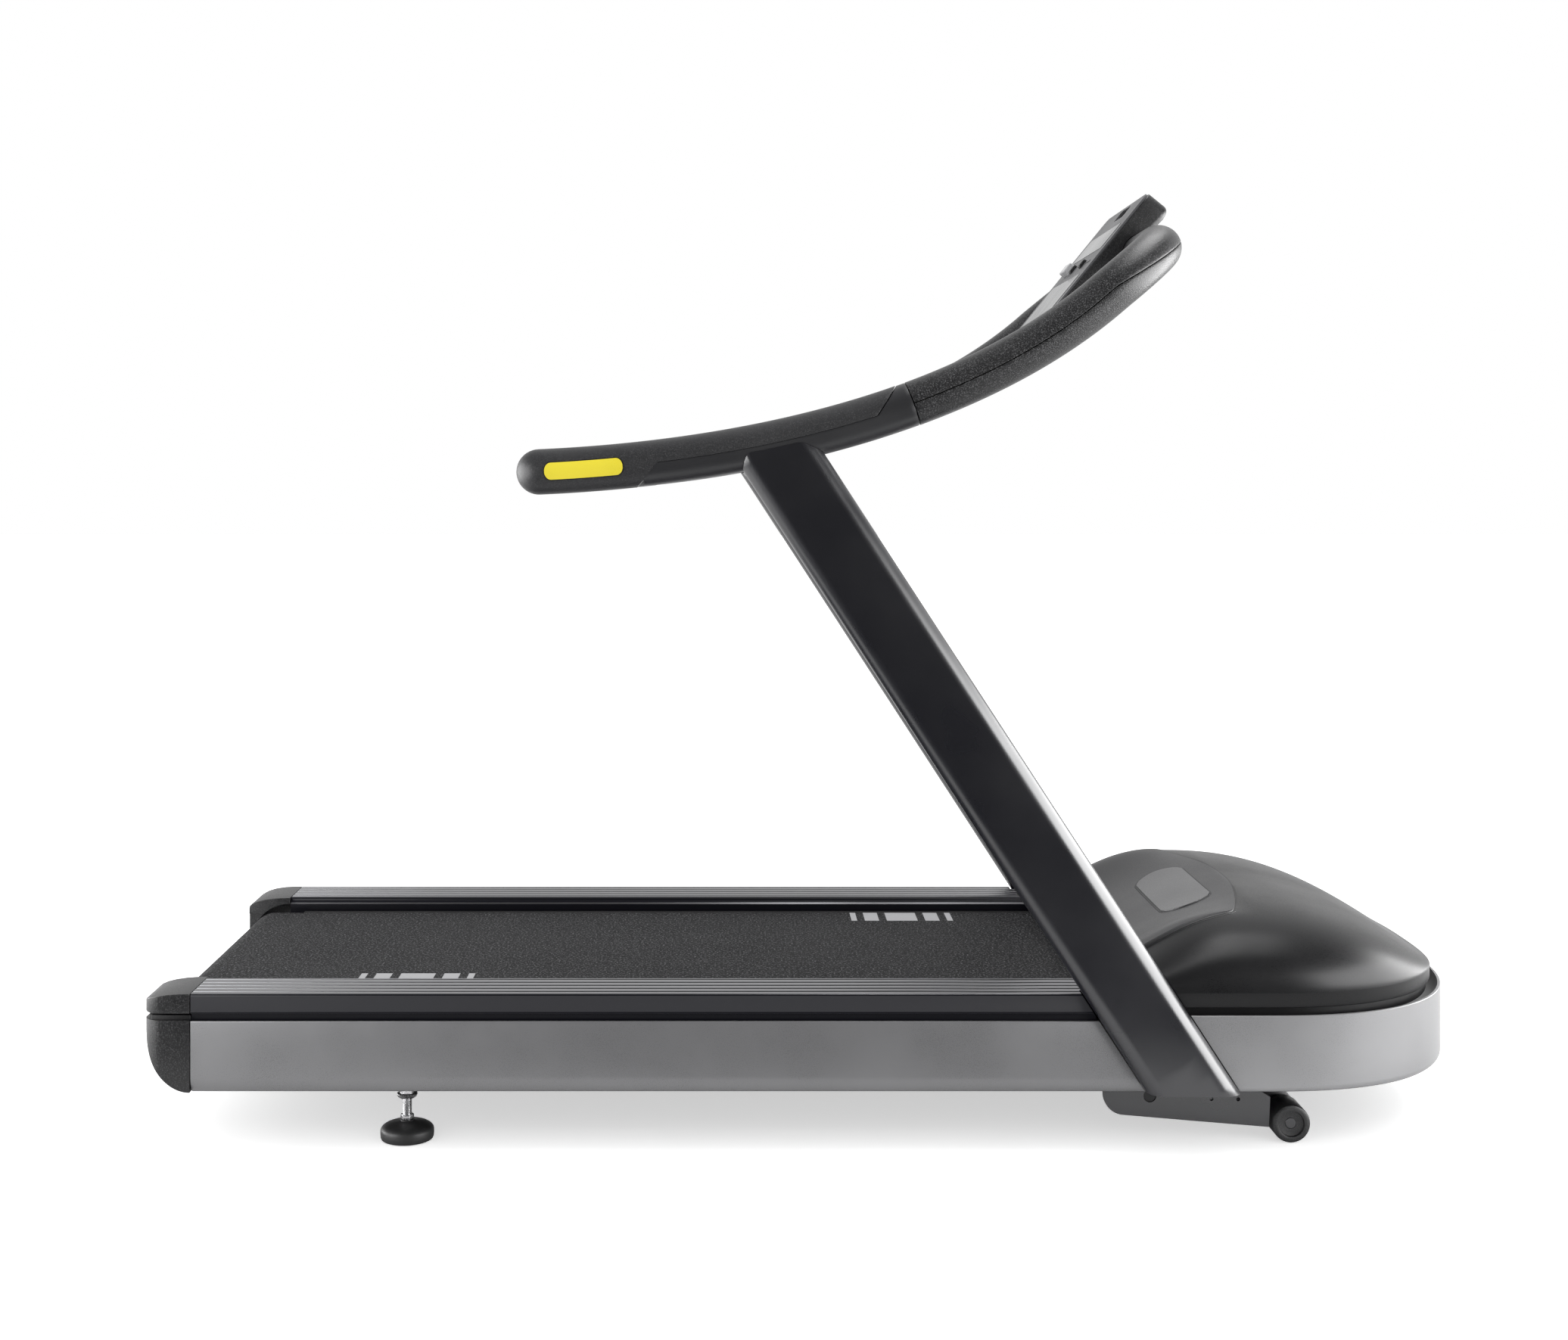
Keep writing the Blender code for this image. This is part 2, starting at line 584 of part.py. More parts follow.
def front_shell():
    """The silver nose: one wall from upright to upright, with a lip turned in below."""
    wall, corner, over = COVER_WALL, 0.016, SHELL_TOP + 0.15
    shell = extruded("front_shell", nose_outline(0, 0.50), "Z", BASE_BOTTOM, SHELL_TOP + 2 * corner, SILVER)
    round_edges(shell, corner, segments=4)
    hollow = extruded("nose hollow", nose_outline(wall, 0.40), "Z", BASE_BOTTOM + wall, over, SILVER)
    round_edges(hollow, corner - wall, segments=4)
    opening = extruded("nose opening", nose_outline(LIP, 0.30), "Z", BASE_BOTTOM - 0.04, over, SILVER)
    above = box("nose above", (0.30, -0.5, SHELL_TOP), (NOSE + 0.1, 0.5, over), SILVER)
    cut(shell, above, hollow, opening)
    for name, side in SIDES.items():
        cut(shell, block_behind(f"shell end {name}", side, 0.30))
    return shell


def rear_cap_upper(name, side):
    """The moulded end of a foot rail. It slopes down at the back, and an arch inside it clears the belt."""
    falls = ((CAP_FRONT, 0), (CAP_FRONT - 0.030, 0.0012), (REAR + 0.014, 0.0065))
    falls += ((REAR + 0.003, 0.012), (REAR, 0.018))
    outline = [(CAP_FRONT, RAIL_BOTTOM)] + [(x, RAIL_TOP - fall) for x, fall in falls] + [(REAR, RAIL_BOTTOM)]
    start, end = sorted((side * RAIL_INNER, side * HALF_WIDTH))
    cap = round_edges(extruded(f"rear_cap_upper_{name}", outline, "Y", start, end, PLASTIC), 0.004)
    foot, outer, wall = 0.150, 0.329, 0.004
    low, high = sorted((side * (RAIL_INNER + 0.0005), side * outer))
    join(cap, box(f"cap skirt {name}", (REAR, low, foot), (CAP_FRONT, high, RAIL_BOTTOM + 0.006), PLASTIC))
    reach, rise, spring = 0.067, 0.046, 0.180
    arch = [(x * reach + CAP_FRONT + 0.007, z * rise + spring) for x, z in arc((0, 0), 1, 0, 180, 13)]
    arch = [(arch[0][0], foot - 0.01)] + arch + [(arch[-1][0], foot - 0.01)]
    low, high = sorted((side * (RAIL_INNER - 0.01), side * (outer - wall)))
    hollow = extruded(f"cap arch {name}", arch, "Y", low, high, PLASTIC)
    return cut(cap, hollow, rear_corner(f"upper corner {name}", side))


def rear_cap_lower(name, side):
    """The moulded end of the base, with a rounded heel and a ledge set in along its top."""
    top, ledge, reach = PANEL_TOP + 0.001, 0.006, CAP_FRONT - REAR - 0.003
    rise = top - BASE_BOTTOM - 0.0005
    outline = [(CAP_FRONT + x * reach, top + z * rise) for x, z in arc((0, 0), 1, 180, 270, 11)]
    outline.append((CAP_FRONT, top))
    inner = 0.330
    start, end = sorted((side * inner, side * HALF_WIDTH))
    cap = round_edges(extruded(f"rear_cap_lower_{name}", outline, "Y", start, end, PLASTIC), 0.004)
    start, end = sorted((side * inner, side * (HALF_WIDTH - ledge)))
    low, high = (REAR + 0.010, start, top - 0.010), (CAP_FRONT, end, SHELL_TOP)
    join(cap, box(f"cap ledge {name}", low, high, PLASTIC))
    return cut(cap, rear_corner(f"lower corner {name}", side))


def rear_corner(name, side):
    """What the plan's slanted rear corner takes away."""
    outline = [(REAR - 0.05, side * 0.27), (REAR, side * 0.295), (REAR + 0.004, side * 0.345)]
    outline += [(REAR + 0.016, side * (HALF_WIDTH + 0.004)), (REAR - 0.05, side * 0.42)]
    return extruded(name, outline, "Z", 0.05, 0.30, PLASTIC)


def hood_edge(x):
    """Height of the crease round the hood, which dips a little at the nose."""
    return HOOD_EDGE - 0.008 * max(0.0, (x - HOOD_SHOULDER) / (HOOD_TIP - HOOD_SHOULDER)) ** 8


def hood_top(x):
    """Height of the hood's crown along its middle, without the valley."""
    if x < HOOD_PEAK:
        rise = math.sin(math.pi / 2 * (x - HOOD_REAR) / (HOOD_PEAK - HOOD_REAR)) ** 1.2
        return HOOD_EDGE + (HOOD_CROWN - HOOD_EDGE) * rise
    share, edge = (x - HOOD_PEAK) / (HOOD_TIP - HOOD_PEAK), hood_edge(x)
    return edge + (HOOD_CROWN - edge) * (1 - share**2.45)


def hood_height(x, y, plan_share):
    """plan_share is how far the point is towards the hood's outer edge, from 0 to 1."""
    flat_top = max(0.0, 1 - plan_share**5) ** 0.5
    along = (x - HOOD_REAR) / VALLEY_LENGTH
    valley = VALLEY_DEPTH * max(0.0, math.sin(math.pi * along)) if along < 1 else 0.0
    across = max(0.0, 1 - (y / VALLEY_HALF_WIDTH) ** 4) ** 1.5
    edge = hood_edge(x)
    return edge + (hood_top(x) - edge) * flat_top - valley * across


def motor_hood():
    """One moulded skin: a crown, sides rolled down to a crease, an upright lip, and a skirt set in below."""
    columns, rows, length = 14, 18, HOOD_TIP - HOOD_SHOULDER
    sheet = bmesh.new()
    grid = []
    for j in range(rows + 1):
        across = 2 * j / rows - 1
        v = across * (1.25 - 0.25 * across**4)
        front = HOOD_SHOULDER + length * max(0.0, 1 - abs(v) ** SIDE_FULLNESS) ** (1 / NOSE_FULLNESS)
        line = []
        for i in range(columns + 1):
            u = i / columns
            x = HOOD_REAR + (front - HOOD_REAR) * math.sin(math.pi / 2 * u) ** 1.1
            ahead = max(0.0, (x - HOOD_SHOULDER) / length)
            share = min(1.0, (abs(v) ** SIDE_FULLNESS + ahead**NOSE_FULLNESS) ** (1 / SIDE_FULLNESS))
            z = hood_height(x, v * HOOD_HALF_WIDTH, share)
            line.append(sheet.verts.new((x, v * HOOD_HALF_WIDTH, max(z, hood_edge(x)))))
        grid.append(line)
    for j in range(rows):
        for i in range(columns):
            corners = (grid[j][i], grid[j][i + 1], grid[j + 1][i + 1], grid[j + 1][i])
            sheet.faces.new(corners)
    rim = [e for e in sheet.edges if e.is_boundary and max(v.co.x for v in e.verts) > HOOD_REAR + 0.1]
    for shrink, height in ((1.0, HOOD_LIP), (0.982, HOOD_LIP), (1.0, HOOD_SKIRT)):
        made = bmesh.ops.extrude_edge_only(sheet, edges=rim)["geom"]
        fresh = {g for g in made if isinstance(g, bmesh.types.BMVert)}
        rim = [e for e in sheet.edges if e.is_boundary and set(e.verts) <= fresh]
        for vertex in fresh:
            x, y, _ = vertex.co
            ahead = max(0.0, x - HOOD_SHOULDER) * (shrink - 1)
            vertex.co = (x + ahead, y * shrink, height)
    bmesh.ops.recalc_face_normals(sheet, faces=sheet.faces)
    mesh = bpy.data.meshes.new("motor_hood")
    sheet.to_mesh(mesh)
    sheet.free()
    hood = add("motor_hood", mesh, HOOD)
    wall = hood.modifiers.new("wall", "SOLIDIFY")
    wall.thickness = HOOD_THICKNESS
    wall.offset = -1
    wall.use_even_offset = True
    for name, side in SIDES.items():
        cut(hood, block_behind(f"hood relief {name}", side, UPRIGHT_INNER - SEAM))
    return hood


def hood_badge():
    """A plain plate that follows the hood's rear slope, with nothing on it."""
    sheet = bmesh.new()
    bmesh.ops.create_grid(sheet, x_segments=3, y_segments=8, size=0.5)
    for vertex in sheet.verts:
        x, y = BADGE_X + vertex.co.x * BADGE_LENGTH, vertex.co.y * BADGE_WIDTH
        vertex.co = (x, y, hood_height(x, y, abs(y) / HOOD_HALF_WIDTH) + BADGE_CLEARANCE)
    mesh = bpy.data.meshes.new("hood_badge")
    sheet.to_mesh(mesh)
    sheet.free()
    plate = add("hood_badge", mesh, TRIM)
    wall = plate.modifiers.new("wall", "SOLIDIFY")
    wall.thickness = 0.0025
    wall.offset = 1
    return plate


# Uprights and handrail


def upright(name, side):
    """A flattened tube, open inside, cut level at the foot and hollowed at the head to seat the handrail."""
    flat = (UPRIGHT_WIDTH - UPRIGHT_THICKNESS) / 2
    parts = []
    for inset in (0.0, UPRIGHT_WALL):
        radius = UPRIGHT_THICKNESS / 2 - inset
        outline = arc((flat, 0), radius, -90, 90, 9) + arc((-flat, 0), radius, 90, 270, 9)
        label = f"upright_{name}" if not inset else f"upright hollow {name}"
        over = 9 * inset
        parts.append(extruded(label, outline, "Z", -over, UPRIGHT_LENGTH + over, PAINT))
    place = Matrix.Translation((UPRIGHT_X0, side * UPRIGHT_Y, 0)) @ Matrix.Rotation(-RAKE_ANGLE, 4, "Y")
    for part in parts:
        part.data.transform(place)
    tube = cut(*parts)
    low, high = (0.3, side * UPRIGHT_Y - 0.1, -0.2), (0.9, side * UPRIGHT_Y + 0.1, UPRIGHT_FOOT)
    floor = box(f"upright floor {name}", low, high, PAINT)
    seat_path = arm_path(side, 0.05, 0.85)
    seat = rod(f"handrail seat {name}", seat_path, ARM_RADIUS + GAP, PAINT)
    ceiling = 1.6
    head = [(p.x, p.z) for p in seat_path] + [(seat_path[-1].x, ceiling), (seat_path[0].x, ceiling)]
    start, end = sorted((side * (ARM_Y - 0.06), side * (ARM_Y + 0.06)))
    above = extruded(f"upright head {name}", head, "Y", start, end, PAINT)
    return cut(tube, floor, seat, above)


def arm_point(side, share):
    """A point of one arm's centre line, from the rear tip (0) to where it bends inward (1)."""
    a, b, c, d = (Vector((x, side * ARM_Y, z)) for x, z in (ARM_REAR, *ARM_HANDLES, ARM_BEND))
    rest = 1 - share
    return a * rest**3 + b * 3 * rest**2 * share + c * 3 * rest * share**2 + d * share**3


def arm_path(side, start, end):
    return [arm_point(side, share) for share in steps_between(start, end, ARM_STEP)]


def bar_path(start, bend_count=7):
    """The whole handlebar from one arm, across behind the console, to the other arm."""
    near = arm_path(-1, start, 1.0)
    slope = (near[-1] - near[-2]).normalized()
    bend = []
    for i in range(1, bend_count):
        angle = math.pi / 2 * i / (bend_count - 1)
        ahead, inward = BEND_RADIUS * math.sin(angle), BEND_RADIUS * (1 - math.cos(angle))
        bend.append(near[-1] + slope * ahead + Vector((0, inward, 0)))
    half = near + bend
    return half + [Vector((p.x, -p.y, p.z)) for p in reversed(half)]


def cross_tube():
    """Where the middle of the handlebar runs across, behind the console."""
    path = bar_path(ARM_JOINT)
    middle = path[len(path) // 2]
    return middle.x, middle.z


def handlebar_core():
    """The bent steel tube that the covers clip round, open at its ends."""
    tube = rod("handlebar_core", bar_path(0.03, 5), CORE_RADIUS, STEEL, resolution=1)
    return cut(tube, rod("core bore", bar_path(0.0, 5), CORE_RADIUS - 0.003, STEEL, resolution=0))


def bar_swell(count):
    """The covers are a little fuller half way up each slope."""
    half = count // 2
    rise = [1 + 0.035 * math.sin(math.pi * i / (half - 1)) ** 2 for i in range(half)]
    return rise + rise[::-1]


def handlebar_cover(name, low_angle, high_angle):
    """Half of the textured cover: an open-sided channel that follows the whole bend."""
    path = bar_path(ARM_JOINT + 0.002)
    profile = ring(CORE_RADIUS + 0.0075, ARM_RADIUS, low_angle, high_angle)
    return swept(name, path, profile, GRAPHITE_TEXTURED, bar_swell(len(path)))


def handrail(name, side):
    """The smooth middle sleeve of an arm, stepped down on top where the pad lies."""
    path = arm_path(side, GRIP_END + 0.002, ARM_JOINT - 0.001)
    sleeve = rod(f"handrail_{name}", path, ARM_RADIUS, GRAPHITE)
    bore = arm_bore(name, side, GRIP_END - 0.03, ARM_JOINT + 0.03)
    bed_path = arm_path(side, GRIP_END - 0.02, PAD_END + 0.004)
    bed = ring(ARM_RADIUS - PAD_THICKNESS - GAP, ARM_RADIUS + 0.004, -1, 181)
    return cut(sleeve, bore, swept(f"pad bed {name}", bed_path, bed, GRAPHITE))


def arm_bore(name, side, start, end):
    """What a sleeve loses to the steel tube inside it."""
    return rod(f"arm bore {name}", arm_path(side, start, end), CORE_RADIUS + GAP, GRAPHITE, resolution=1)


def grip(name, side):
    """The soft moulding on an arm: a closed round end that runs on as a rest over the sleeve's upper half."""
    path = arm_path(side, 0.0, PAD_END)
    back = (path[0] - path[1]).normalized()
    nose, shares = [], []
    for i in range(5):
        angle = math.pi / 2 * (i + 1) / 5.6
        nose.append(path[0] + back * ARM_RADIUS * math.sin(angle))
        shares.append(math.cos(angle))
    shape = rod(f"grip_{name}", nose[::-1] + path, ARM_RADIUS, RUBBER, shares[::-1] + [1.0] * len(path))
    room = steps_between(-179, -1, TUBE_FACET), steps_between(1, 179, TUBE_FACET)
    radii = (ARM_RADIUS + 0.004, ARM_RADIUS - PAD_THICKNESS)
    angles = [(math.radians(a), radius) for degrees, radius in zip(room, radii) for a in degrees]
    profile = [(radius * math.cos(a), radius * math.sin(a)) for a, radius in angles]
    under = swept(f"sleeve space {name}", arm_path(side, GRIP_END, PAD_END + 0.03), profile, RUBBER)
    return cut(shape, under, arm_bore(f"grip {name}", side, 0.026, GRIP_END + 0.02))


def grip_badge(name, side):
    """A plain yellow plate that follows the outside of the grip."""
    lean = math.degrees(0.0125 / ARM_RADIUS)
    middle = 0 if side < 0 else 180
    profile = ring(ARM_RADIUS + GAP, ARM_RADIUS + 0.0010, middle - lean, middle + lean)
    return swept(f"grip_badge_{name}", arm_path(side, 0.012, 0.130), profile, YELLOW)


# Console


def console_place(down, right, out):
    """A point of the console: down its face from the top edge, to the runner's right, and out to them."""
    sin, cos = math.sin(CONSOLE_TILT), math.cos(CONSOLE_TILT)
    x = CONSOLE_TOP[0] - down * cos - out * sin
    z = CONSOLE_TOP[1] - down * sin + out * cos
    return Vector((x, -right, z))


def console_matrix():
    """Turns a piece drawn with X down the face, Y to the right and Z out of it into its place."""
    start = console_place(0, 0, 0)
    axes = [console_place(*step) - start for step in ((1, 0, 0), (0, 1, 0), (0, 0, 1))]
    return Matrix.Translation(start) @ Matrix(axes).transposed().to_4x4()


def console_housing():
    """The deep back of the console, with a channel across it that the handlebar sits in."""
    face, length, depth, rim = FACE_DEPTH + GAP, CONSOLE_LENGTH, CONSOLE_DEPTH, 0.0025
    side_view = [(0, 0), (rim, 0), (rim, -face), (length, -face), (length - 0.004, -0.020), (0.180, -0.034)]
    side_view += [(0.052, -depth), (0.020, -depth - 0.003), (0.006, -depth + 0.004), (0, -depth + 0.016)]
    places = [console_place(down, 0, out) for down, out in side_view]
    outline = [(p.x, p.z) for p in places]
    half = CONSOLE_HALF_WIDTH
    housing = round_edges(extruded("console_housing", outline, "Y", -half, half, PLASTIC), 0.0025)
    x, z = cross_tube()
    cut(housing, cylinder("bar channel", (x, 0, z), ARM_RADIUS + 0.0015, 0.5, "Y", PLASTIC, sides=32))
    for key in KEYS:
        cut(housing, key_space(f"{key} well", key, 0.0012, -0.0085, -0.003))
    return housing


def key_space(name, key, grow, low, high):
    """A block round a key, wider than it all round, between two heights from the face."""
    down, right, wide, tall, _ = KEYS[key]
    start = (down - tall / 2 - grow, right - wide / 2 - grow, low)
    end = (down + tall / 2 + grow, right + wide / 2 + grow, high)
    space = box(name, start, end, PLASTIC)
    space.data.transform(console_matrix())
    return space


def console_face():
    """The glass over the display, with openings that the keys pass through."""
    edge, half = 0.003, CONSOLE_HALF_WIDTH - 0.0025
    low, high = (edge, -half, -FACE_DEPTH), (CONSOLE_LENGTH - edge, half, 0)
    plate = box("console_face", low, high, GLASS, bevel=0.0008)
    plate.data.transform(console_matrix())
    for key in KEYS:
        cut(plate, key_space(f"{key} opening", key, 0.0006, -0.01, 0.01))
    return plate


def console_key(name, down, right, wide, tall, stands):
    low = (down - tall / 2, right - wide / 2, -FACE_DEPTH)
    high = (down + tall / 2, right + wide / 2, stands)
    key = box(name, low, high, KEY if name == "stop_button" else PLASTIC, bevel=0.002)
    key.data.transform(console_matrix())
    return key


# Lift


def lift_frame():
    """The lever under the nose: two cheeks, a cross tube, and an arm and stub axle for each wheel."""
    bar = (0.600, 0.064)
    reach = 2 * CHEEK_INNER + 0.004
    frame = cylinder("lift_frame", (bar[0], 0, bar[1]), 0.017, reach, "Y", PAINT, sides=16)
    cheek = arc((0.455, 0.0715), 0.032, 180, 262, 7) + [(0.560, 0.0305), (0.671, 0.0215), (0.673, 0.066)]
    cheek += [(0.640, 0.0865), (0.423, 0.0865)]
    arm = [(0.590, 0.086), (0.590, 0.052), (0.640, 0.030)] + arc(WHEEL, 0.0262, 235, 405, 12)
    arm += [(0.690, 0.086)]
    for side in (1, -1):
        start, end = sorted((side * CHEEK_INNER, side * CHEEK_OUTER))
        join(frame, extruded(f"cheek {side}", cheek, "Y", start, end, PAINT))
        start, end = sorted((side * 0.262, side * 0.270))
        join(frame, extruded(f"wheel arm {side}", arm, "Y", start, end, PAINT))
        place = (WHEEL[0], side * 0.2945, WHEEL[1])
        join(frame, cylinder(f"stub axle {side}", place, 0.008, 0.058, "Y", PAINT, sides=20))
        middle = side * (CHEEK_INNER + CHEEK_OUTER) / 2
        pivot_hole = (PIVOT[0], middle, PIVOT[1])
        cut(frame, cylinder(f"cheek hole {side}", pivot_hole, 0.0096, 0.03, "Y", PAINT, sides=24))
        for x, z in ((0.585, 0.0635), (0.625, 0.0630)):
            hole = cylinder(f"cheek bolt hole {side} {x}", (x, middle, z), 0.003, 0.02, "Y", PAINT, sides=8)
            cut(frame, hole)
    return frame


def lift_pivot():
    """The rod through the tray's lugs that the lever swings on."""
    return cylinder("lift_pivot", (PIVOT[0], 0, PIVOT[1]), 0.0090, 0.6360, "Y", PAINT, sides=24)


def lift_wheel(name, side):
    """A solid transport wheel, bored for its stub axle and dished at its outer end."""
    middle = side * (WHEEL_INNER + WHEEL_OUTER) / 2
    half, edge = (WHEEL_OUTER - WHEEL_INNER) / 2, 0.003
    profile = [(0.0083, half - 0.004), (0.0190, half - 0.004), (0.0205, half), (WHEEL_RADIUS - edge, half)]
    profile += [(WHEEL_RADIUS, half - edge), (WHEEL_RADIUS, -half + edge), (WHEEL_RADIUS - edge, -half)]
    profile += [(0.0083, -half)]
    place, along = (WHEEL[0], middle, WHEEL[1]), "Y" if side > 0 else "-Y"
    made = turned(f"lift_wheel_{name}", profile, place, along, RUBBER)
    made.data.edges.add(1)
    made.data.edges[-1].vertices = (len(profile) - 1, 0)
    return made


def lift_actuator():
    """The lift motor's tube, hung from above, with a bore that the screw runs in."""
    x, y = ACTUATOR
    tube = cylinder("lift_actuator", (x, y, 0.194), 0.021, 0.156, "Z", IRON, sides=24)
    join(tube, cylinder("actuator motor", (x, y + 0.046, 0.226), 0.024, 0.078, "Z", IRON, sides=20))
    join(tube, box("actuator gearbox", (x - 0.026, y - 0.024, 0.160), (x + 0.026, y + 0.068, 0.190), IRON))
    return cut(tube, cylinder("screw bore", (x, y, 0.180), 0.0125, 0.160, "Z", IRON, sides=20))


def lift_screw():
    """The screw rod, which ends in a head that pushes on the lever's cross tube."""
    x, y = ACTUATOR
    screw = cylinder("lift_screw", (x, y, 0.170), 0.0120, 0.160, "Z", STEEL, sides=20)
    low, high = (x - 0.016, y - 0.014, 0.0855), (x + 0.016, y + 0.014, 0.100)
    return join(screw, box("screw head", low, high, STEEL))


# Feet


def rear_foot(name, side):
    """A domed levelling foot on its stem."""
    stem = [(0, 0.150), (0.0058, 0.150), (STEM_RADIUS, 0.148), (STEM_RADIUS, 0.0285)]
    profile = stem + [(0.0095, 0.0280), (0.0200, 0.0245), (0.0290, 0.0225), (0.0375, 0.0180)]
    profile += [(FOOT_RADIUS, 0.0130), (FOOT_RADIUS - 0.0005, 0.003)]
    profile += [(FOOT_RADIUS - 0.004, 0), (0, 0)]
    return turned(f"rear_foot_{name}", profile, (FOOT_X, side * FOOT_Y, 0), "Z", RUBBER)


def foot_lock_nut(name, side):
    place = (FOOT_X, side * FOOT_Y, 0.0330)
    nut = cylinder(f"foot_lock_nut_{name}", place, 0.0104, 0.007, "Z", STEEL, sides=6)
    return cut(nut, cylinder(f"nut bore {name}", place, STEM_RADIUS + GAP, 0.02, "Z", STEEL, sides=20))


def on_axis(name, place, *pieces):
    """Parents a moving body's pieces to an empty that stands on its joint's axis."""
    empty = bpy.data.objects.new(name, None)
    empty.location = place
    TREADMILL.objects.link(empty)
    for piece in pieces:
        piece.parent = empty
        piece.matrix_parent_inverse = Matrix.Translation(place).inverted()


# The whole machine

clear_scene()
TREADMILL = new_collection("treadmill")
CUTTERS = new_collection("cutters")

PAINT = finish("dark painted steel", (0.014, 0.014, 0.021), 0.28)
SILVER = finish("silver paint", (0.20, 0.20, 0.21), 0.35, 0.6)
ALUMINIUM = finish("dark anodised aluminium", (0.06, 0.06, 0.065), 0.35, 0.8)
PLASTIC = finish("black textured plastic", (0.012, 0.012, 0.013), 0.55)
HOOD = finish("dark grey textured plastic", (0.035, 0.035, 0.038), 0.45)
GRAPHITE = finish("smooth graphite plastic", (0.022, 0.022, 0.027), 0.35)
GRAPHITE_TEXTURED = finish("textured graphite plastic", (0.030, 0.030, 0.034), 0.55)
RUBBER = finish("black rubber", (0.016, 0.016, 0.017), 0.70)
BELT = finish("running belt", (0.045, 0.045, 0.048), 0.80)
DECK = finish("waxed deck board", (0.10, 0.07, 0.045), 0.50)
STEEL = finish("zinc plated steel", (0.55, 0.55, 0.56), 0.30, 1.0)
IRON = finish("cast grey metal", (0.10, 0.10, 0.11), 0.50, 0.5)
GLASS = finish("console glass", (0.02, 0.02, 0.022), 0.06)
KEY = finish("pale grey key", (0.50, 0.50, 0.51), 0.40)
TRIM = finish("grey badge plate", (0.16, 0.16, 0.165), 0.35, 0.3)
YELLOW = finish("yellow badge plate", (0.72, 0.60, 0.02), 0.40)

for side_name, side_sign in SIDES.items():
    main_beam(side_name, side_sign)
    tension_bolt(side_name, side_sign)
    bearing_block(side_name, side_sign)
    foot_rail(side_name, side_sign)
    side_panel(side_name, side_sign)
    rear_cap_upper(side_name, side_sign)
    rear_cap_lower(side_name, side_sign)
    upright(side_name, side_sign)
    handrail(side_name, side_sign)
    grip(side_name, side_sign)
    grip_badge(side_name, side_sign)
    wheel_place = (WHEEL[0], side_sign * (WHEEL_INNER + WHEEL_OUTER) / 2, WHEEL[1])
    on_axis(f"wheel {side_name}", wheel_place, lift_wheel(side_name, side_sign))
    foot_pieces = rear_foot(side_name, side_sign), foot_lock_nut(side_name, side_sign)
    on_axis(f"foot {side_name}", (FOOT_X, side_sign * FOOT_Y, 0), *foot_pieces)

cross_member("front_cross_member", 0.33)
cross_member("middle_cross_member", -0.15)
foot_brackets(cross_member("rear_cross_member", FOOT_X), FOOT_X)
motor_tray()
deck_cushion("front", 0.33)
deck_cushion("rear", FOOT_X)
deck()
running_belt()
drive_pieces = drive_roller(), pulley("drive_pulley", DRIVE_X, ROLLER_Z, PULLEY_RADIUS, SHAFT_RADIUS + GAP)
on_axis("drive roller axis", (DRIVE_X, 0, ROLLER_Z), *drive_pieces)
on_axis("idler roller axis", (IDLER_X, 0, ROLLER_Z), idler_roller())
idler_axle()
motor_belt()
drive_motor()
on_axis("motor axis", (MOTOR_X, PULLEY_Y, MOTOR_Z), motor_pulley())
motor_controller()
mains_inlet()
front_shell()
motor_hood()
hood_badge()
handlebar_core()
handlebar_cover("handlebar_upper_cover", 1, 179)
handlebar_cover("handlebar_lower_cover", 181, 359)
console_housing()
console_face()
for key_name, key_form in KEYS.items():
    key_piece = console_key(key_name, *key_form)
    on_axis(f"{key_name} axis", console_place(*key_form[:2], 0), key_piece)
on_axis("lift axis", (PIVOT[0], 0, PIVOT[1]), lift_frame())
lift_pivot()
on_axis("actuator axis", (*ACTUATOR, ACTUATOR_TOP), lift_actuator())
on_axis("screw axis", (*ACTUATOR, 0.170), lift_screw())
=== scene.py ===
"""The looks of the treadmill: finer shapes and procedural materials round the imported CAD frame.

Metres. +X is the way the runner faces, +Y the runner's left, +Z up. Places come from the frame's nodes where
they can; the curves of the handrail and the hood repeat the design's own driving values.
"""

import json
import math

import bmesh
import bpy
from mathutils import Matrix, Vector


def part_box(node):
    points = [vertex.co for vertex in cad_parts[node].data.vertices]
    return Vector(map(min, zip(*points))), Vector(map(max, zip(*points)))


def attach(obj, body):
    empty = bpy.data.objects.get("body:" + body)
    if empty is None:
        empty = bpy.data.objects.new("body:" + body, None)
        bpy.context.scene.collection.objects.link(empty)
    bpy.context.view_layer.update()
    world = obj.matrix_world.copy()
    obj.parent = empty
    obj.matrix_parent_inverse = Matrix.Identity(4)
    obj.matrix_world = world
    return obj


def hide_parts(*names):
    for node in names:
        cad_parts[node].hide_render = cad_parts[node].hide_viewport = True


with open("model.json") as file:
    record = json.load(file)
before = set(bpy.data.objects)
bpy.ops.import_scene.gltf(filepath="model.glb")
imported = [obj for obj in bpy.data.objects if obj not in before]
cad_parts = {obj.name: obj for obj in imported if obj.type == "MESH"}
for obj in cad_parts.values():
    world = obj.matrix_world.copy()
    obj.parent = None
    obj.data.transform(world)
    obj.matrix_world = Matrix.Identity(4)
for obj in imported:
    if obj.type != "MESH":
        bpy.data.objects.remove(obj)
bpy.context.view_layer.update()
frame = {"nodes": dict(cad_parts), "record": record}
BODY = "machine"
SIDES = {"left": 1, "right": -1}

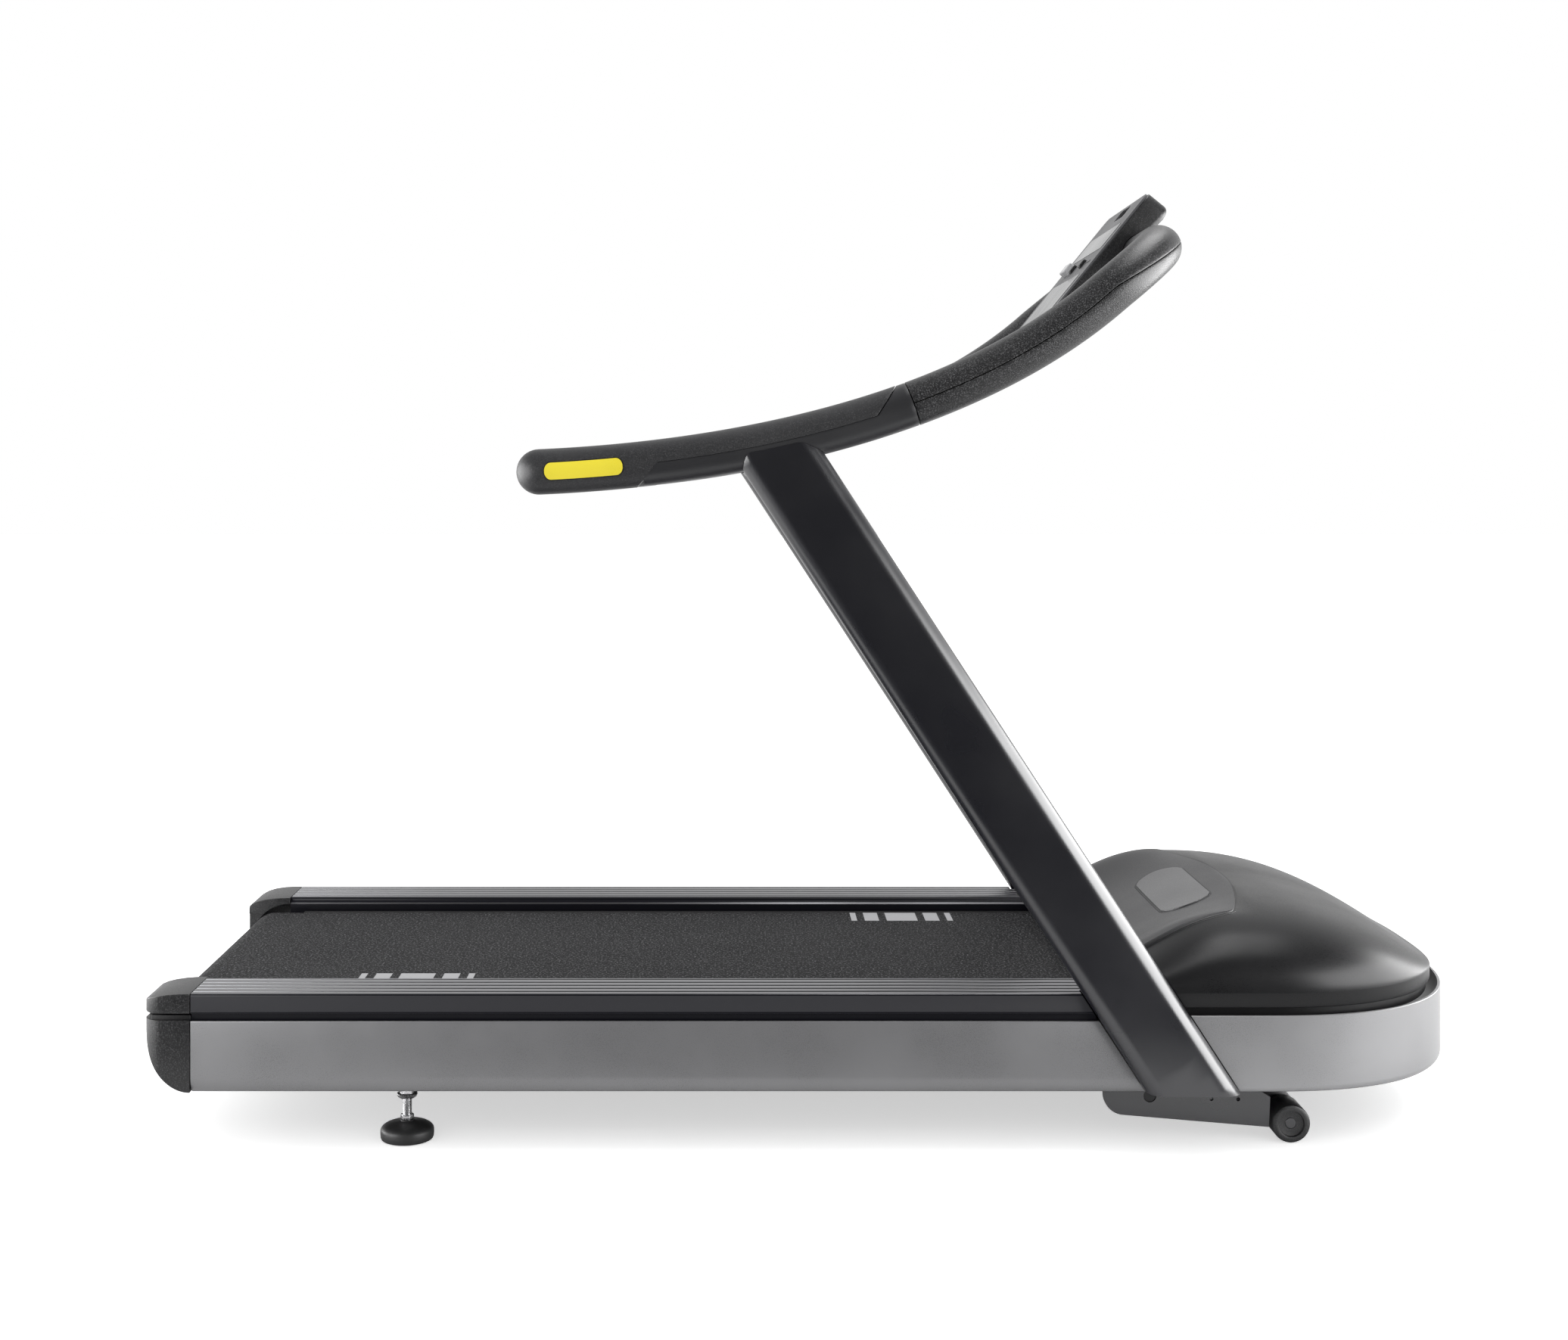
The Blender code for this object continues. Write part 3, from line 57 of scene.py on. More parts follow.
# Base, read from the frame
SHELL_LOW, SHELL_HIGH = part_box("front_shell")
NOSE, HALF_WIDTH, SHELL_TOP, BASE_BOTTOM = SHELL_HIGH.x, SHELL_HIGH.y, SHELL_HIGH.z, SHELL_LOW.z
BELT_LOW, BELT_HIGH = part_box("running_belt")
RAIL_LOW, RAIL_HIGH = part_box("foot_rail_left")
RAIL_BAND_BOTTOM, RAIL_BAND_INSET = 0.2070, 0.0006
CAP_LOW, CAP_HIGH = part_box("rear_cap_upper_left")
HEEL_LOW, HEEL_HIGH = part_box("rear_cap_lower_left")
PANEL_LOW, PANEL_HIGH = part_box("side_panel_left")
SEAM, SHELL_WALL, SHELL_REAR, PANEL_END = 0.002, 0.0035, 0.47, 0.56

# Uprights
RAKE, UPRIGHT_X0 = -0.65, 0.6035
UPRIGHT_WIDTH, UPRIGHT_THICKNESS, UPRIGHT_Y, UPRIGHT_FOOT = 0.114, 0.0455, 0.38075, 0.0925
RAKE_ANGLE = math.atan(-RAKE)
UPRIGHT_REACH = UPRIGHT_WIDTH / 2 / math.cos(RAKE_ANGLE)
UPRIGHT_INNER = UPRIGHT_Y - UPRIGHT_THICKNESS / 2

# Handrail
ARM_Y, ARM_RADIUS, CORE_RADIUS = 0.3705, 0.0335, 0.0206
ARM_CURVE = ((-0.4150, 1.0010), (-0.10, 1.015), (0.225, 1.090), (0.427, 1.269))
BEND_RADIUS, SWELL = 0.116, 0.035
GRIP_END, PAD_END, ARM_JOINT = 0.190, 0.535, 0.597
PAD_THICKNESS, SLANT, END_SLANT = 0.006, 1.4, 1.1
ARM_CLEAR = ARM_RADIUS + 0.004

# Hood
HOOD_REAR, HOOD_SHOULDER, HOOD_EDGE, HOOD_LIP, HOOD_SKIRT = 0.405, 0.660, 0.2353, 0.2130, 0.1970
HOOD_HALF_WIDTH, HOOD_CROWN, HOOD_PEAK, HOOD_TIP = 0.370, 0.335, 0.630, 0.984
SIDE_FULLNESS, NOSE_FULLNESS = 2.6, 2.3
VALLEY_LENGTH, VALLEY_HALF_WIDTH, VALLEY_DEPTH = 0.270, 0.260, 0.0295
PANEL_CORNER, PANEL_FRONT, PANEL_HALF_WIDTH = 0.635, 0.680, 0.283
BADGE_X, BADGE_LENGTH, BADGE_WIDTH, BADGE_BOW = 0.5975, 0.078, 0.210, 0.023

# Console
CONSOLE_TOP, CONSOLE_TILT = (0.525, 1.444), math.radians(50.9)
CONSOLE_LENGTH, CONSOLE_HALF_WIDTH = 0.360, 0.165
SLOT = ((0.023, 0.025), (0.024, 0.075), 0.008)  # centre, size and corner radius
KEY_PLACES = {
    # Distance down the face, distance to the right, width and height
    "stop_button": (0.132, -0.080, 0.044, 0.020),
    "speed_key": (0.135, 0.058, 0.016, 0.016),
    "incline_key": (0.135, -0.029, 0.016, 0.016),
}


# Materials


def surface(
    name,
    colour,
    roughness,
    metallic=0.0,
    grain=0.0,
    grain_scale=900.0,
    stretch=(1, 1, 1),
    speckle=0.0,
    cloud=0.05,
    coat=0.0,
    specular=0.5,
):
    """A moulded, painted or brushed finish: broad cloudiness, fine speckle, uneven gloss and a fine grain."""
    made = bpy.data.materials.new(name)
    made.use_nodes = True
    nodes, links = made.node_tree.nodes, made.node_tree.links
    shader = nodes["Principled BSDF"]
    shader.inputs["Metallic"].default_value = metallic
    shader.inputs["Coat Weight"].default_value = coat
    shader.inputs["Coat Roughness"].default_value = 0.12
    shader.inputs["Specular IOR Level"].default_value = specular
    place = nodes.new("ShaderNodeTexCoord")
    scaled = nodes.new("ShaderNodeMapping")
    scaled.inputs["Scale"].default_value = stretch
    links.new(place.outputs["Object"], scaled.inputs["Vector"])
    broad, fine = nodes.new("ShaderNodeTexNoise"), nodes.new("ShaderNodeTexNoise")
    broad.inputs["Scale"].default_value = 7.0
    broad.inputs["Detail"].default_value = 3.0
    fine.inputs["Scale"].default_value = grain_scale
    fine.inputs["Detail"].default_value = 2.0
    for noise in (broad, fine):
        links.new(scaled.outputs["Vector"], noise.inputs["Vector"])
    shade = colour_between(made, broad.outputs["Fac"], colour, 1 - cloud, 1 + cloud)
    if speckle:
        shade = speckled(made, fine.outputs["Fac"], shade, speckle)
    links.new(shade, shader.inputs["Base Color"])
    gloss = spread(made, broad.outputs["Fac"], roughness - 0.04, roughness + 0.04)
    if grain or speckle:
        gloss = maths(made, "ADD", gloss, spread(made, fine.outputs["Fac"], -0.08, 0.08))
    links.new(gloss, shader.inputs["Roughness"])
    if grain:
        links.new(bumped(made, fine.outputs["Fac"], grain), shader.inputs["Normal"])
    return made


def spread(made, value, low, high, start=0.3, end=0.7, smooth=False):
    """Goes from low to high while the value goes from start to end, by default the middle of a noise."""
    node = made.node_tree.nodes.new("ShaderNodeMapRange")
    node.interpolation_type = "SMOOTHSTEP" if smooth else "LINEAR"
    for key, number in (("From Min", start), ("From Max", end), ("To Min", low), ("To Max", high)):
        node.inputs[key].default_value = number
    made.node_tree.links.new(value, node.inputs["Value"])
    return node.outputs["Result"]


def maths(made, operation, first, second, third=None):
    node = made.node_tree.nodes.new("ShaderNodeMath")
    node.operation = operation
    for socket, value in zip(node.inputs, (first, second, third)):
        if value is None:
            continue
        if isinstance(value, (int, float)):
            socket.default_value = value
        else:
            made.node_tree.links.new(value, socket)
    return node.outputs["Value"]


def coordinates(made, kind="Object"):
    """The X, Y and Z outputs of a texture coordinate."""
    nodes = made.node_tree.nodes
    split = nodes.new("ShaderNodeSeparateXYZ")
    made.node_tree.links.new(nodes.new("ShaderNodeTexCoord").outputs[kind], split.inputs["Vector"])
    return split.outputs


def mixed(made, share, first, second):
    """Mixes two colours, each a tuple or a socket, by a share."""
    node = made.node_tree.nodes.new("ShaderNodeMix")
    node.data_type = "RGBA"
    made.node_tree.links.new(share, node.inputs["Factor"])
    for key, value in (("A", first), ("B", second)):
        socket = [s for s in node.inputs if s.name == key and s.type == "RGBA"][0]
        if isinstance(value, tuple):
            socket.default_value = (*value, 1)
        else:
            made.node_tree.links.new(value, socket)
    return [s for s in node.outputs if s.type == "RGBA"][0]


def colour_between(made, value, colour, low, high):
    dark, light = (tuple(c * k for c in colour) for k in (low, high))
    return mixed(made, spread(made, value, 0, 1), dark, light)


def speckled(made, value, shade, amount):
    """Lighter grains on the highest points of the fine noise."""
    share = spread(made, value, 0, amount, 0.52, 0.68)
    return mixed(made, share, shade, (0.30, 0.30, 0.31))


def bumped(made, height, depth):
    node = made.node_tree.nodes.new("ShaderNodeBump")
    node.inputs["Distance"].default_value = depth
    made.node_tree.links.new(height, node.inputs["Height"])
    return node.outputs["Normal"]


def belt_material():
    """Pebbled rubber with two rows of printed dashes, which show that the belt is moving."""
    pebbled = {"grain": 0.0006, "grain_scale": 300, "speckle": 0.36, "specular": 0.1}
    made = surface("running_belt", (0.006, 0.006, 0.007), 0.7, **pebbled)
    at = coordinates(made)
    dashes = ((-0.084, 0.010), (-0.053, 0.025), (0.0, 0.054), (0.053, 0.025), (0.084, 0.010))
    row_y, row_half_width, belt_thickness = 0.2135, 0.0315, 0.004
    printed = None
    for middle, side in ((-0.622, -1), (0.167, 1)):
        band = maths(made, "COMPARE", at["Y"], side * row_y, row_half_width)
        for offset, width in dashes:
            along = maths(made, "COMPARE", at["X"], middle + offset, width / 2)
            dash = maths(made, "MULTIPLY", along, band)
            printed = dash if printed is None else maths(made, "MAXIMUM", printed, dash)
    above = maths(made, "GREATER_THAN", at["Z"], BELT_HIGH.z - belt_thickness)
    printed = maths(made, "MULTIPLY", printed, above)
    socket = made.node_tree.nodes["Principled BSDF"].inputs["Base Color"]
    made.node_tree.links.new(mixed(made, printed, socket.links[0].from_socket, (0.36, 0.36, 0.37)), socket)
    return made


def board_material():
    """Pressed fibres in thin layers at the deck's edge; the top is painted near black as shade, for the strip
    beside the belt that lies in shadow.
    """
    fibres = {"grain": 0.0003, "grain_scale": 260, "stretch": (1, 1, 6), "cloud": 0.2}
    made = surface("deck_board", (0.10, 0.07, 0.045), 0.5, **fibres)
    nodes, links = made.node_tree.nodes, made.node_tree.links
    split = nodes.new("ShaderNodeSeparateXYZ")
    links.new(nodes.new("ShaderNodeNewGeometry").outputs["Normal"], split.inputs["Vector"])
    socket = nodes["Principled BSDF"].inputs["Base Color"]
    # Painted shade: faces that look up are near black.
    top = maths(made, "GREATER_THAN", split.outputs["Z"], 0.5)
    links.new(mixed(made, top, socket.links[0].from_socket, (0.004, 0.004, 0.004)), socket)
    return made


def rail_material():
    """Brushed metal on the ribs and edges. Painted shade: near black in the grooves, on the inner face and on
    the lower leg, and a dark, dull side band.
    """
    brushed = {"metallic": 0.9, "stretch": (0.02, 1, 1), "cloud": 0.08}
    made = surface("dark_aluminium", (0.150, 0.150, 0.158), 0.30, **brushed)
    at, links = coordinates(made), made.node_tree.links
    across = maths(made, "ABSOLUTE", at["Y"], 0)
    # Masks for the painted shade: the inner face, the leg below the band, the floors of the grooves and the
    # side band.
    inner = maths(made, "COMPARE", across, RAIL_LOW.y, 0.0008)
    below = maths(made, "LESS_THAN", at["Z"], RAIL_BAND_BOTTOM + 0.0002)
    band = maths(made, "COMPARE", across, RAIL_HIGH.y - RAIL_BAND_INSET, 0.0003)
    floor = maths(made, "LESS_THAN", at["Z"], RAIL_HIGH.z - 0.0010)
    ribbed = maths(made, "COMPARE", across, (RAIL_LOW.y + RAIL_HIGH.y) / 2 + 0.0020, 0.0500)
    grooves = maths(made, "MULTIPLY", floor, ribbed)
    painted_shade = maths(made, "MAXIMUM", maths(made, "MAXIMUM", inner, below), grooves)
    shader = made.node_tree.nodes["Principled BSDF"]
    socket = shader.inputs["Base Color"]
    # Painted shade: near black where the grooves, inner face and lower leg lie in shadow, dark grey on the
    # side band.
    shade = mixed(made, painted_shade, socket.links[0].from_socket, (0.007, 0.007, 0.010))
    links.new(mixed(made, band, shade, (0.036, 0.036, 0.040)), socket)
    # The painted shade also takes away the metal and most of the gloss.
    painted_shade = maths(made, "MAXIMUM", painted_shade, band)
    links.new(spread(made, painted_shade, 0.9, 0.0, 0, 1), shader.inputs["Metallic"])
    links.new(spread(made, painted_shade, 0.5, 0.12, 0, 1), shader.inputs["Specular IOR Level"])
    return made


def finishes():
    """Every finish by name: the slots' own, and a few more for parts of a piece."""
    made = {"running_belt": belt_material(), "deck_board": board_material()}
    made["dark_aluminium"] = rail_material()
    fine = {"grain": 0.00001, "grain_scale": 1500}
    satin = {"grain": 0.00002, "grain_scale": 950}
    textured = {"grain_scale": 620}
    for name, colour, roughness, detail in (
        ("painted_steel", (0.0065, 0.0067, 0.0110), 0.30, {"specular": 1.0}),
        ("silver_paint", (0.185, 0.185, 0.190), 0.34, {"metallic": 0.35, **fine}),
        # Painted light: the same silver paint made lighter for the nose, which stands in the light.
        ("silver_paint_lit_nose", (0.260, 0.260, 0.266), 0.34, {"metallic": 0.35, **fine}),
        ("black_plastic", (0.01, 0.01, 0.011), 0.42, {"grain": 0.00012, "grain_scale": 850, "speckle": 0.1}),
        ("hood_plastic", (0.008, 0.008, 0.009), 0.36, {"specular": 0.24, **satin}),
        ("panel_plastic", (0.038, 0.038, 0.040), 0.40, {"specular": 0.28, **satin}),
        ("cap_plastic", (0.006, 0.006, 0.007), 0.38, {"grain": 0.00025, **textured, "speckle": 0.1}),
        ("graphite_plastic", (0.016, 0.016, 0.019), 0.42, {"specular": 0.7}),
        ("textured_graphite", (0.014, 0.014, 0.015), 0.40, {"grain": 0.00035, **textured, "speckle": 0.25}),
        ("rubber", (0.012, 0.012, 0.013), 0.50, {"grain": 0.0001}),
        ("soft_grip", (0.018, 0.018, 0.020), 0.48, {"grain": 0.00022, "grain_scale": 760, "speckle": 0.1}),
        ("zinc_steel", (0.56, 0.56, 0.57), 0.27, {"metallic": 1.0, "grain": 0.00002, "cloud": 0.12}),
        ("cast_metal", (0.10, 0.10, 0.11), 0.50, {"metallic": 0.5, "grain": 0.0003, "cloud": 0.15}),
        # Painted reflection: the face's grey stands in for the pale studio that it mirrors, and its own gloss
        # is kept low.
        ("console_glass", (0.090, 0.090, 0.094), 0.36, {"specular": 0.06}),
        ("screen_glass", (0.012, 0.013, 0.016), 0.14, {"specular": 0.12}),
        ("pale_key", (0.42, 0.42, 0.43), 0.38, {"grain": 0.00004}),
        ("badge_plate", (0.085, 0.085, 0.088), 0.34, {"metallic": 0.3, "grain": 0.00002}),
        ("yellow_badge", (0.74, 0.62, 0.02), 0.34, {"coat": 0.4, "grain": 0.00002}),
        ("dark_edge", (0.004, 0.004, 0.005), 0.5, {"grain": 0.00005}),
    ):
        made[name] = surface(name, colour, roughness, **detail)
    return made


MATERIALS = finishes()

# Mesh building


def piece(name, verts, faces, slot, look=None, body=BODY, smooth_angle=32, replaced=()):
    """A finished piece from points and faces."""
    return dressed(name, mesh_of(name, verts, faces), slot, look, body, smooth_angle, replaced)


def mesh_of(name, verts, faces):
    mesh = bpy.data.meshes.new(name)
    mesh.from_pydata([tuple(v) for v in verts], [], faces)
    return mesh


def turn_outward(mesh, merge=False):
    """Turns every face outward, and first joins points that fall together where merge is set."""
    shape = bmesh.new()
    shape.from_mesh(mesh)
    if merge:
        bmesh.ops.remove_doubles(shape, verts=shape.verts, dist=1e-6)
    bmesh.ops.recalc_face_normals(shape, faces=shape.faces)
    shape.to_mesh(mesh)
    shape.free()


def dressed(name, mesh, slot, look=None, body=BODY, smooth_angle=32, replaced=()):
    """An object from a mesh, riding on its body, with the material of its look, or else of its slot."""
    turn_outward(mesh)
    made = bpy.data.objects.new(name, mesh)
    bpy.context.scene.collection.objects.link(made)
    mesh.materials.append(MATERIALS[look or slot])
    mesh.shade_smooth()
    mesh.set_sharp_from_angle(angle=math.radians(smooth_angle))
    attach(made, body)
    if replaced:
        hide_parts(*replaced)
    return made


def helper(verts, faces):
    """A cutter: a closed mesh that settle() removes."""
    mesh = mesh_of("helper", verts, faces)
    turn_outward(mesh)
    made = bpy.data.objects.new("helper", mesh)
    bpy.context.scene.collection.objects.link(made)
    return made


def settle(made, cutters=(), joined=(), bevel=0.0, segments=3, smooth_angle=32):
    """Cuts, joins and rounds a piece, and makes the result its mesh."""
    for other, operation in [(o, "DIFFERENCE") for o in cutters] + [(o, "UNION") for o in joined]:
        modifier = made.modifiers.new("shape", "BOOLEAN")
        modifier.operation = operation
        modifier.object = other
    if bevel:
        modifier = made.modifiers.new("rounded", "BEVEL")
        modifier.width = bevel
        modifier.segments = segments
        modifier.angle_limit = math.radians(40)
    bpy.context.view_layer.update()
    graph = bpy.context.evaluated_depsgraph_get()
    mesh = bpy.data.meshes.new_from_object(made.evaluated_get(graph))
    made.modifiers.clear()
    made.data = mesh
    mesh.shade_smooth()
    mesh.set_sharp_from_angle(angle=math.radians(smooth_angle))
    for other in (*cutters, *joined):
        bpy.data.objects.remove(other)
    return made


def skin(rings, caps=True, cyclic=True):
    """Points and faces of a skin through rings that each have the same number of points."""
    count = len(rings[0])
    verts = [p for ring in rings for p in ring]
    faces = []
    for i in range(len(rings) - 1):
        for j in range(count if cyclic else count - 1):
            k = (j + 1) % count
            faces.append((i * count + j, i * count + k, (i + 1) * count + k, (i + 1) * count + j))
    if caps:
        faces.append(tuple(range(count)))
        faces.append(tuple((len(rings) - 1) * count + j for j in reversed(range(count))))
    return verts, faces


def prism(outline, along, start, end):
    """An outline made thick along X (outline in Y, Z), Y (in X, Z) or Z (in X, Y)."""
    put = {
        "X": lambda a, b, t: (t, a, b),
        "Y": lambda a, b, t: (a, t, b),
        "Z": lambda a, b, t: (a, b, t),
    }[along]
    return skin([[Vector(put(a, b, t)) for a, b in outline] for t in (start, end)])


def turned(profile, centre, axis, steps=48):
    """A profile of (radius, distance along the axis) turned about an axis, on which it may end."""
    axis, centre = Vector(axis), Vector(centre)
    first = axis.orthogonal().normalized()
    second = axis.cross(first)
    verts, faces, rows = [], [], []
    for radius, along in profile:
        if radius < 1e-7:
            rows.append([len(verts)] * steps)
            verts.append(centre + axis * along)
            continue
        rows.append(list(range(len(verts), len(verts) + steps)))
        for i in range(steps):
            angle = 2 * math.pi * i / steps
            out = first * math.cos(angle) + second * math.sin(angle)
            verts.append(centre + axis * along + out * radius)
    for low, high in zip(rows, rows[1:]):
        for i in range(steps):
            k = (i + 1) % steps
            corners = (low[i], low[k], high[k], high[i])
            faces.append(tuple(dict.fromkeys(corners)))
    return verts, faces


def rod(radius, reach):
    """The profile of a plain rod, to be turned about its axis."""
    return [(0, -reach), (radius, -reach), (radius, reach), (0, reach)]


def arc(centre, radius, start, end, count):
    """Points of an arc, with angles in degrees."""
    angles = [math.radians(angle) for angle in shares(start, end, count)]
    return [(centre[0] + radius * math.cos(a), centre[1] + radius * math.sin(a)) for a in angles]


def shares(start, end, count):
    return [start + (end - start) * i / (count - 1) for i in range(count)]


def quarter(count):
    """Even angles over a quarter turn."""
    return shares(0, math.pi / 2, count)


def span(side, inner, outer):
    """Two distances from the middle as a low and a high Y on one side."""
    return sorted((side * inner, side * outer))


def block(low, high):
    low, high = Vector(low), Vector(high)
    outline = [(low.x, low.y), (high.x, low.y), (high.x, high.y), (low.x, high.y)]
    return prism(outline, "Z", low.z, high.z)


# Handrail


def arm_point(side, share):
    """A point on the arm's centre line, from its rear end (0) to the handlebar's bend (1)."""
    a, b, c, d = (Vector((x, side * ARM_Y, z)) for x, z in ARM_CURVE)
    rest = 1 - share
    return a * rest**3 + b * 3 * rest**2 * share + c * 3 * rest * share**2 + d * share**3


def arm_axes(side, share):
    """The arm's centre, its direction, and its section's two axes: to the right and up."""
    step = 1e-3
    ahead = (arm_point(side, share + step) - arm_point(side, share - step)).normalized()
    right = ahead.cross(Vector((0, 0, 1))).normalized()
    return arm_point(side, share), ahead, right, right.cross(ahead)


def arm_ring(side, share, profile, slant=0.0):
    """A ring of (right, up) points round the arm, slid along it in step with their height."""
    ring = []
    for across, up in profile:
        centre, _, right, rise = arm_axes(side, share + slant * up)
        ring.append(centre + right * across + rise * up)
    return ring


def arm_skin(side, profile, start, end, count, slant=0.0):
    """A profile drawn along part of the arm."""
    return skin([arm_ring(side, share, profile, slant) for share in shares(start, end, count)])


def circle(radius, sides=48):
    turns = [2 * math.pi * i / sides for i in range(sides)]
    return [(radius * math.cos(turn), radius * math.sin(turn)) for turn in turns]


def wall(inner, outer, start, end, count=33):
    """A closed profile: the part of a round wall between two angles."""
    return arc((0, 0), outer, start, end, count) + arc((0, 0), inner, end, start, count)


def soft_grip(name, side):
    """The rubber end of an arm and the arm rest ahead of it: one moulding, cut on a slant at both ends."""
    rings, slanted = [], 0.33
    for angle in quarter(13)[1:]:
        radius, back = ARM_RADIUS * math.sin(angle), ARM_RADIUS * (1 - math.cos(angle))
        centre, direction, right, rise = arm_axes(side, 0.0)
        centre = centre - direction * (ARM_RADIUS - back)
        rings.append([centre + right * a + rise * b for a, b in circle(radius)])
    for share in shares(0.015, PAD_END, 60):
        slant = SLANT * max(0.0, (share - slanted) / (PAD_END - slanted))
        rings.append(arm_ring(side, share, circle(ARM_RADIUS), slant))
    verts, faces = skin(rings)
    made = piece(f"soft_grip_{name}", verts, faces, "rubber", "soft_grip", replaced=(f"grip_{name}",))
    bed = ARM_RADIUS - PAD_THICKNESS
    below = arc((0, 0), ARM_CLEAR, 182, 358, 33) + arc((0, 0), bed, 4, 176, 33)
    under = arm_skin(side, below, GRIP_END - 0.005, PAD_END + 0.12, 50, END_SLANT)
    core = arm_skin(side, circle(CORE_RADIUS, 32), 0.03, ARM_JOINT + 0.03, 40)
    return settle(made, (helper(*under), helper(*core)), bevel=0.0009, segments=2)


def sleeve(name, side):
    """The smooth sleeve under the arm rest, from the grip to the joint."""
    tube = arm_skin(side, circle(ARM_RADIUS - 0.0005), GRIP_END - 0.030, ARM_JOINT, 56)
    made = piece(f"sleeve_{name}", *tube, "graphite_plastic", replaced=(f"handrail_{name}",))
    bed = ARM_RADIUS - PAD_THICKNESS - 0.0004
    above = arc((0, 0), ARM_CLEAR, -1, 181, 33) + arc((0, 0), bed, 181, -1, 33)
    pad = arm_skin(side, above, GRIP_END - 0.12, PAD_END + 0.003, 50, SLANT)
    grip = arm_skin(side, circle(ARM_CLEAR), 0.05, GRIP_END - 0.008, 12, END_SLANT)
    return settle(made, (helper(*pad), helper(*grip)), bevel=0.0008, segments=2)


def bar_line(count):
    """The handlebar from one arm's joint, up and across behind the console, to the other, in even steps."""
    near = [arm_point(-1, share) for share in shares(ARM_JOINT + 0.002, 1.0, 60)]
    slope = (arm_point(-1, 1.0) - arm_point(-1, 15 / 16)).normalized()
    for angle in quarter(31)[1:]:
        ahead, inward = BEND_RADIUS * math.sin(angle), BEND_RADIUS * (1 - math.cos(angle))
        near.append(arm_point(-1, 1.0) + slope * ahead + Vector((0, inward, 0)))
    line = near + [Vector((p.x, -p.y, p.z)) for p in reversed(near)]
    reach = [0.0]
    for a, b in zip(line, line[1:]):
        reach.append(reach[-1] + (b - a).length)
    even, k = [], 0
    for i in range(count):
        wanted = reach[-1] * i / (count - 1)
        while k < len(line) - 2 and reach[k + 1] < wanted:
            k += 1
        share = (wanted - reach[k]) / (reach[k + 1] - reach[k])
        even.append(line[k].lerp(line[k + 1], share))
    return even


def cover_half(name, start, end, node):
    """Half of the textured cover, with a fine groove along its split line."""
    line = bar_line(150)
    half = len(line) / 2
    rings = []
    for i, centre in enumerate(line):
        before, after = line[max(i - 1, 0)], line[min(i + 1, len(line) - 1)]
        ahead = (after - before).normalized()
        right = ahead.cross(Vector((0, 0, 1))).normalized()
        rise = right.cross(ahead)
        up_slope = min(i, len(line) - 1 - i) / half
        full = 1 + SWELL * math.sin(math.pi * min(1.0, up_slope)) ** 2
        climb = 42 * min(1.0, max(0.0, (up_slope - 0.30) / 0.55)) ** 2
        first, last = (start + climb, end) if start < 90 else (start, end + climb)
        profile = wall((ARM_RADIUS - 0.006) * full, (ARM_RADIUS - 0.0002) * full, first, last)
        rings.append([centre + right * a + rise * b for a, b in profile])
    made = piece(name, *skin(rings), "textured_graphite", replaced=(node,))
    return settle(made, bevel=0.0007, segments=2)


def badge_on_grip(name, side):
    """A plain yellow plate with rounded ends and a dark rim."""
    middle, arm_length = 0 if side < 0 else 180, 0.945
    for title, rise, half_width, start, end, look in (
        (f"grip_badge_rim_{name}", 0.0006, 0.0136, 0.0090, 0.133, "dark_edge"),
        (f"grip_badge_{name}_look", 0.0012, 0.0120, 0.0107, 0.1313, "yellow_badge"),
    ):
        rings, turn = [], half_width * 0.8 / arm_length
        ends = [turn * (1 - math.cos(angle)) for angle in quarter(9)[1:]]
        places = [start + d for d in ends] + shares(start + turn, end - turn, 20)[1:-1]
        places += [end - d for d in reversed(ends)]
        for share in places:
            inside = min(1.0, min(share - start, end - share) / turn)
            width = half_width * math.sqrt(1 - (1 - inside) ** 2)
            turn_out = math.degrees(math.asin(width / ARM_RADIUS))
            profile = wall(ARM_RADIUS - 0.0006, ARM_RADIUS + rise, middle - turn_out, middle + turn_out, 15)
            rings.append(arm_ring(side, share, profile))
        piece(title, *skin(rings), "yellow_badge", look, replaced=(f"grip_badge_{name}",))


# Uprights


def upright(name, side):
    """A flattened tube with round edges, cut level at the foot and to the arm's roundness at the head."""
    flat = (UPRIGHT_WIDTH - UPRIGHT_THICKNESS) / 2
    radius = UPRIGHT_THICKNESS / 2
    outline = arc((flat, 0), radius, -90, 90, 25) + arc((-flat, 0), radius, 90, 270, 25)
    place = Matrix.Translation((UPRIGHT_X0, side * UPRIGHT_Y, 0)) @ Matrix.Rotation(-RAKE_ANGLE, 4, "Y")
    rings = [[place @ Vector((a, b, 1.30 * i / 40)) for a, b in outline] for i in range(41)]
    made = piece(f"upright_{name}_look", *skin(rings), "painted_steel", replaced=(f"upright_{name}",))
    low, high = span(side, UPRIGHT_Y - 0.1, UPRIGHT_Y + 0.1)
    foot = block((0.2, low, -0.3), (1.0, high, UPRIGHT_FOOT))
    seat = arm_skin(side, circle(ARM_RADIUS + 0.0003, 64), 0.1, 0.85, 40)
    over = [arm_point(side, share) for share in shares(0.1, 0.85, 40)]
    outline = [(p.x, p.z) for p in over] + [(over[-1].x, 1.6), (over[0].x, 1.6)]
    above = prism(outline, "Y", low, high)
    return settle(made, (helper(*foot), helper(*seat), helper(*above)), bevel=0.0006, segments=2)


# Hood


def hood_edge(x):
    """Height of the crease round the hood, which dips a little at the nose."""
    return HOOD_EDGE - 0.008 * max(0.0, (x - HOOD_SHOULDER) / (HOOD_TIP - HOOD_SHOULDER)) ** 8


def hood_top(x):
    """Height of the hood along its middle."""
    if x < HOOD_PEAK:
        rise = math.sin(math.pi / 2 * (x - HOOD_REAR) / (HOOD_PEAK - HOOD_REAR)) ** 1.2
        return HOOD_EDGE + (HOOD_CROWN - HOOD_EDGE) * rise
    share, edge = (x - HOOD_PEAK) / (HOOD_TIP - HOOD_PEAK), hood_edge(x)
    return edge + (HOOD_CROWN - edge) * (1 - share**2.45)


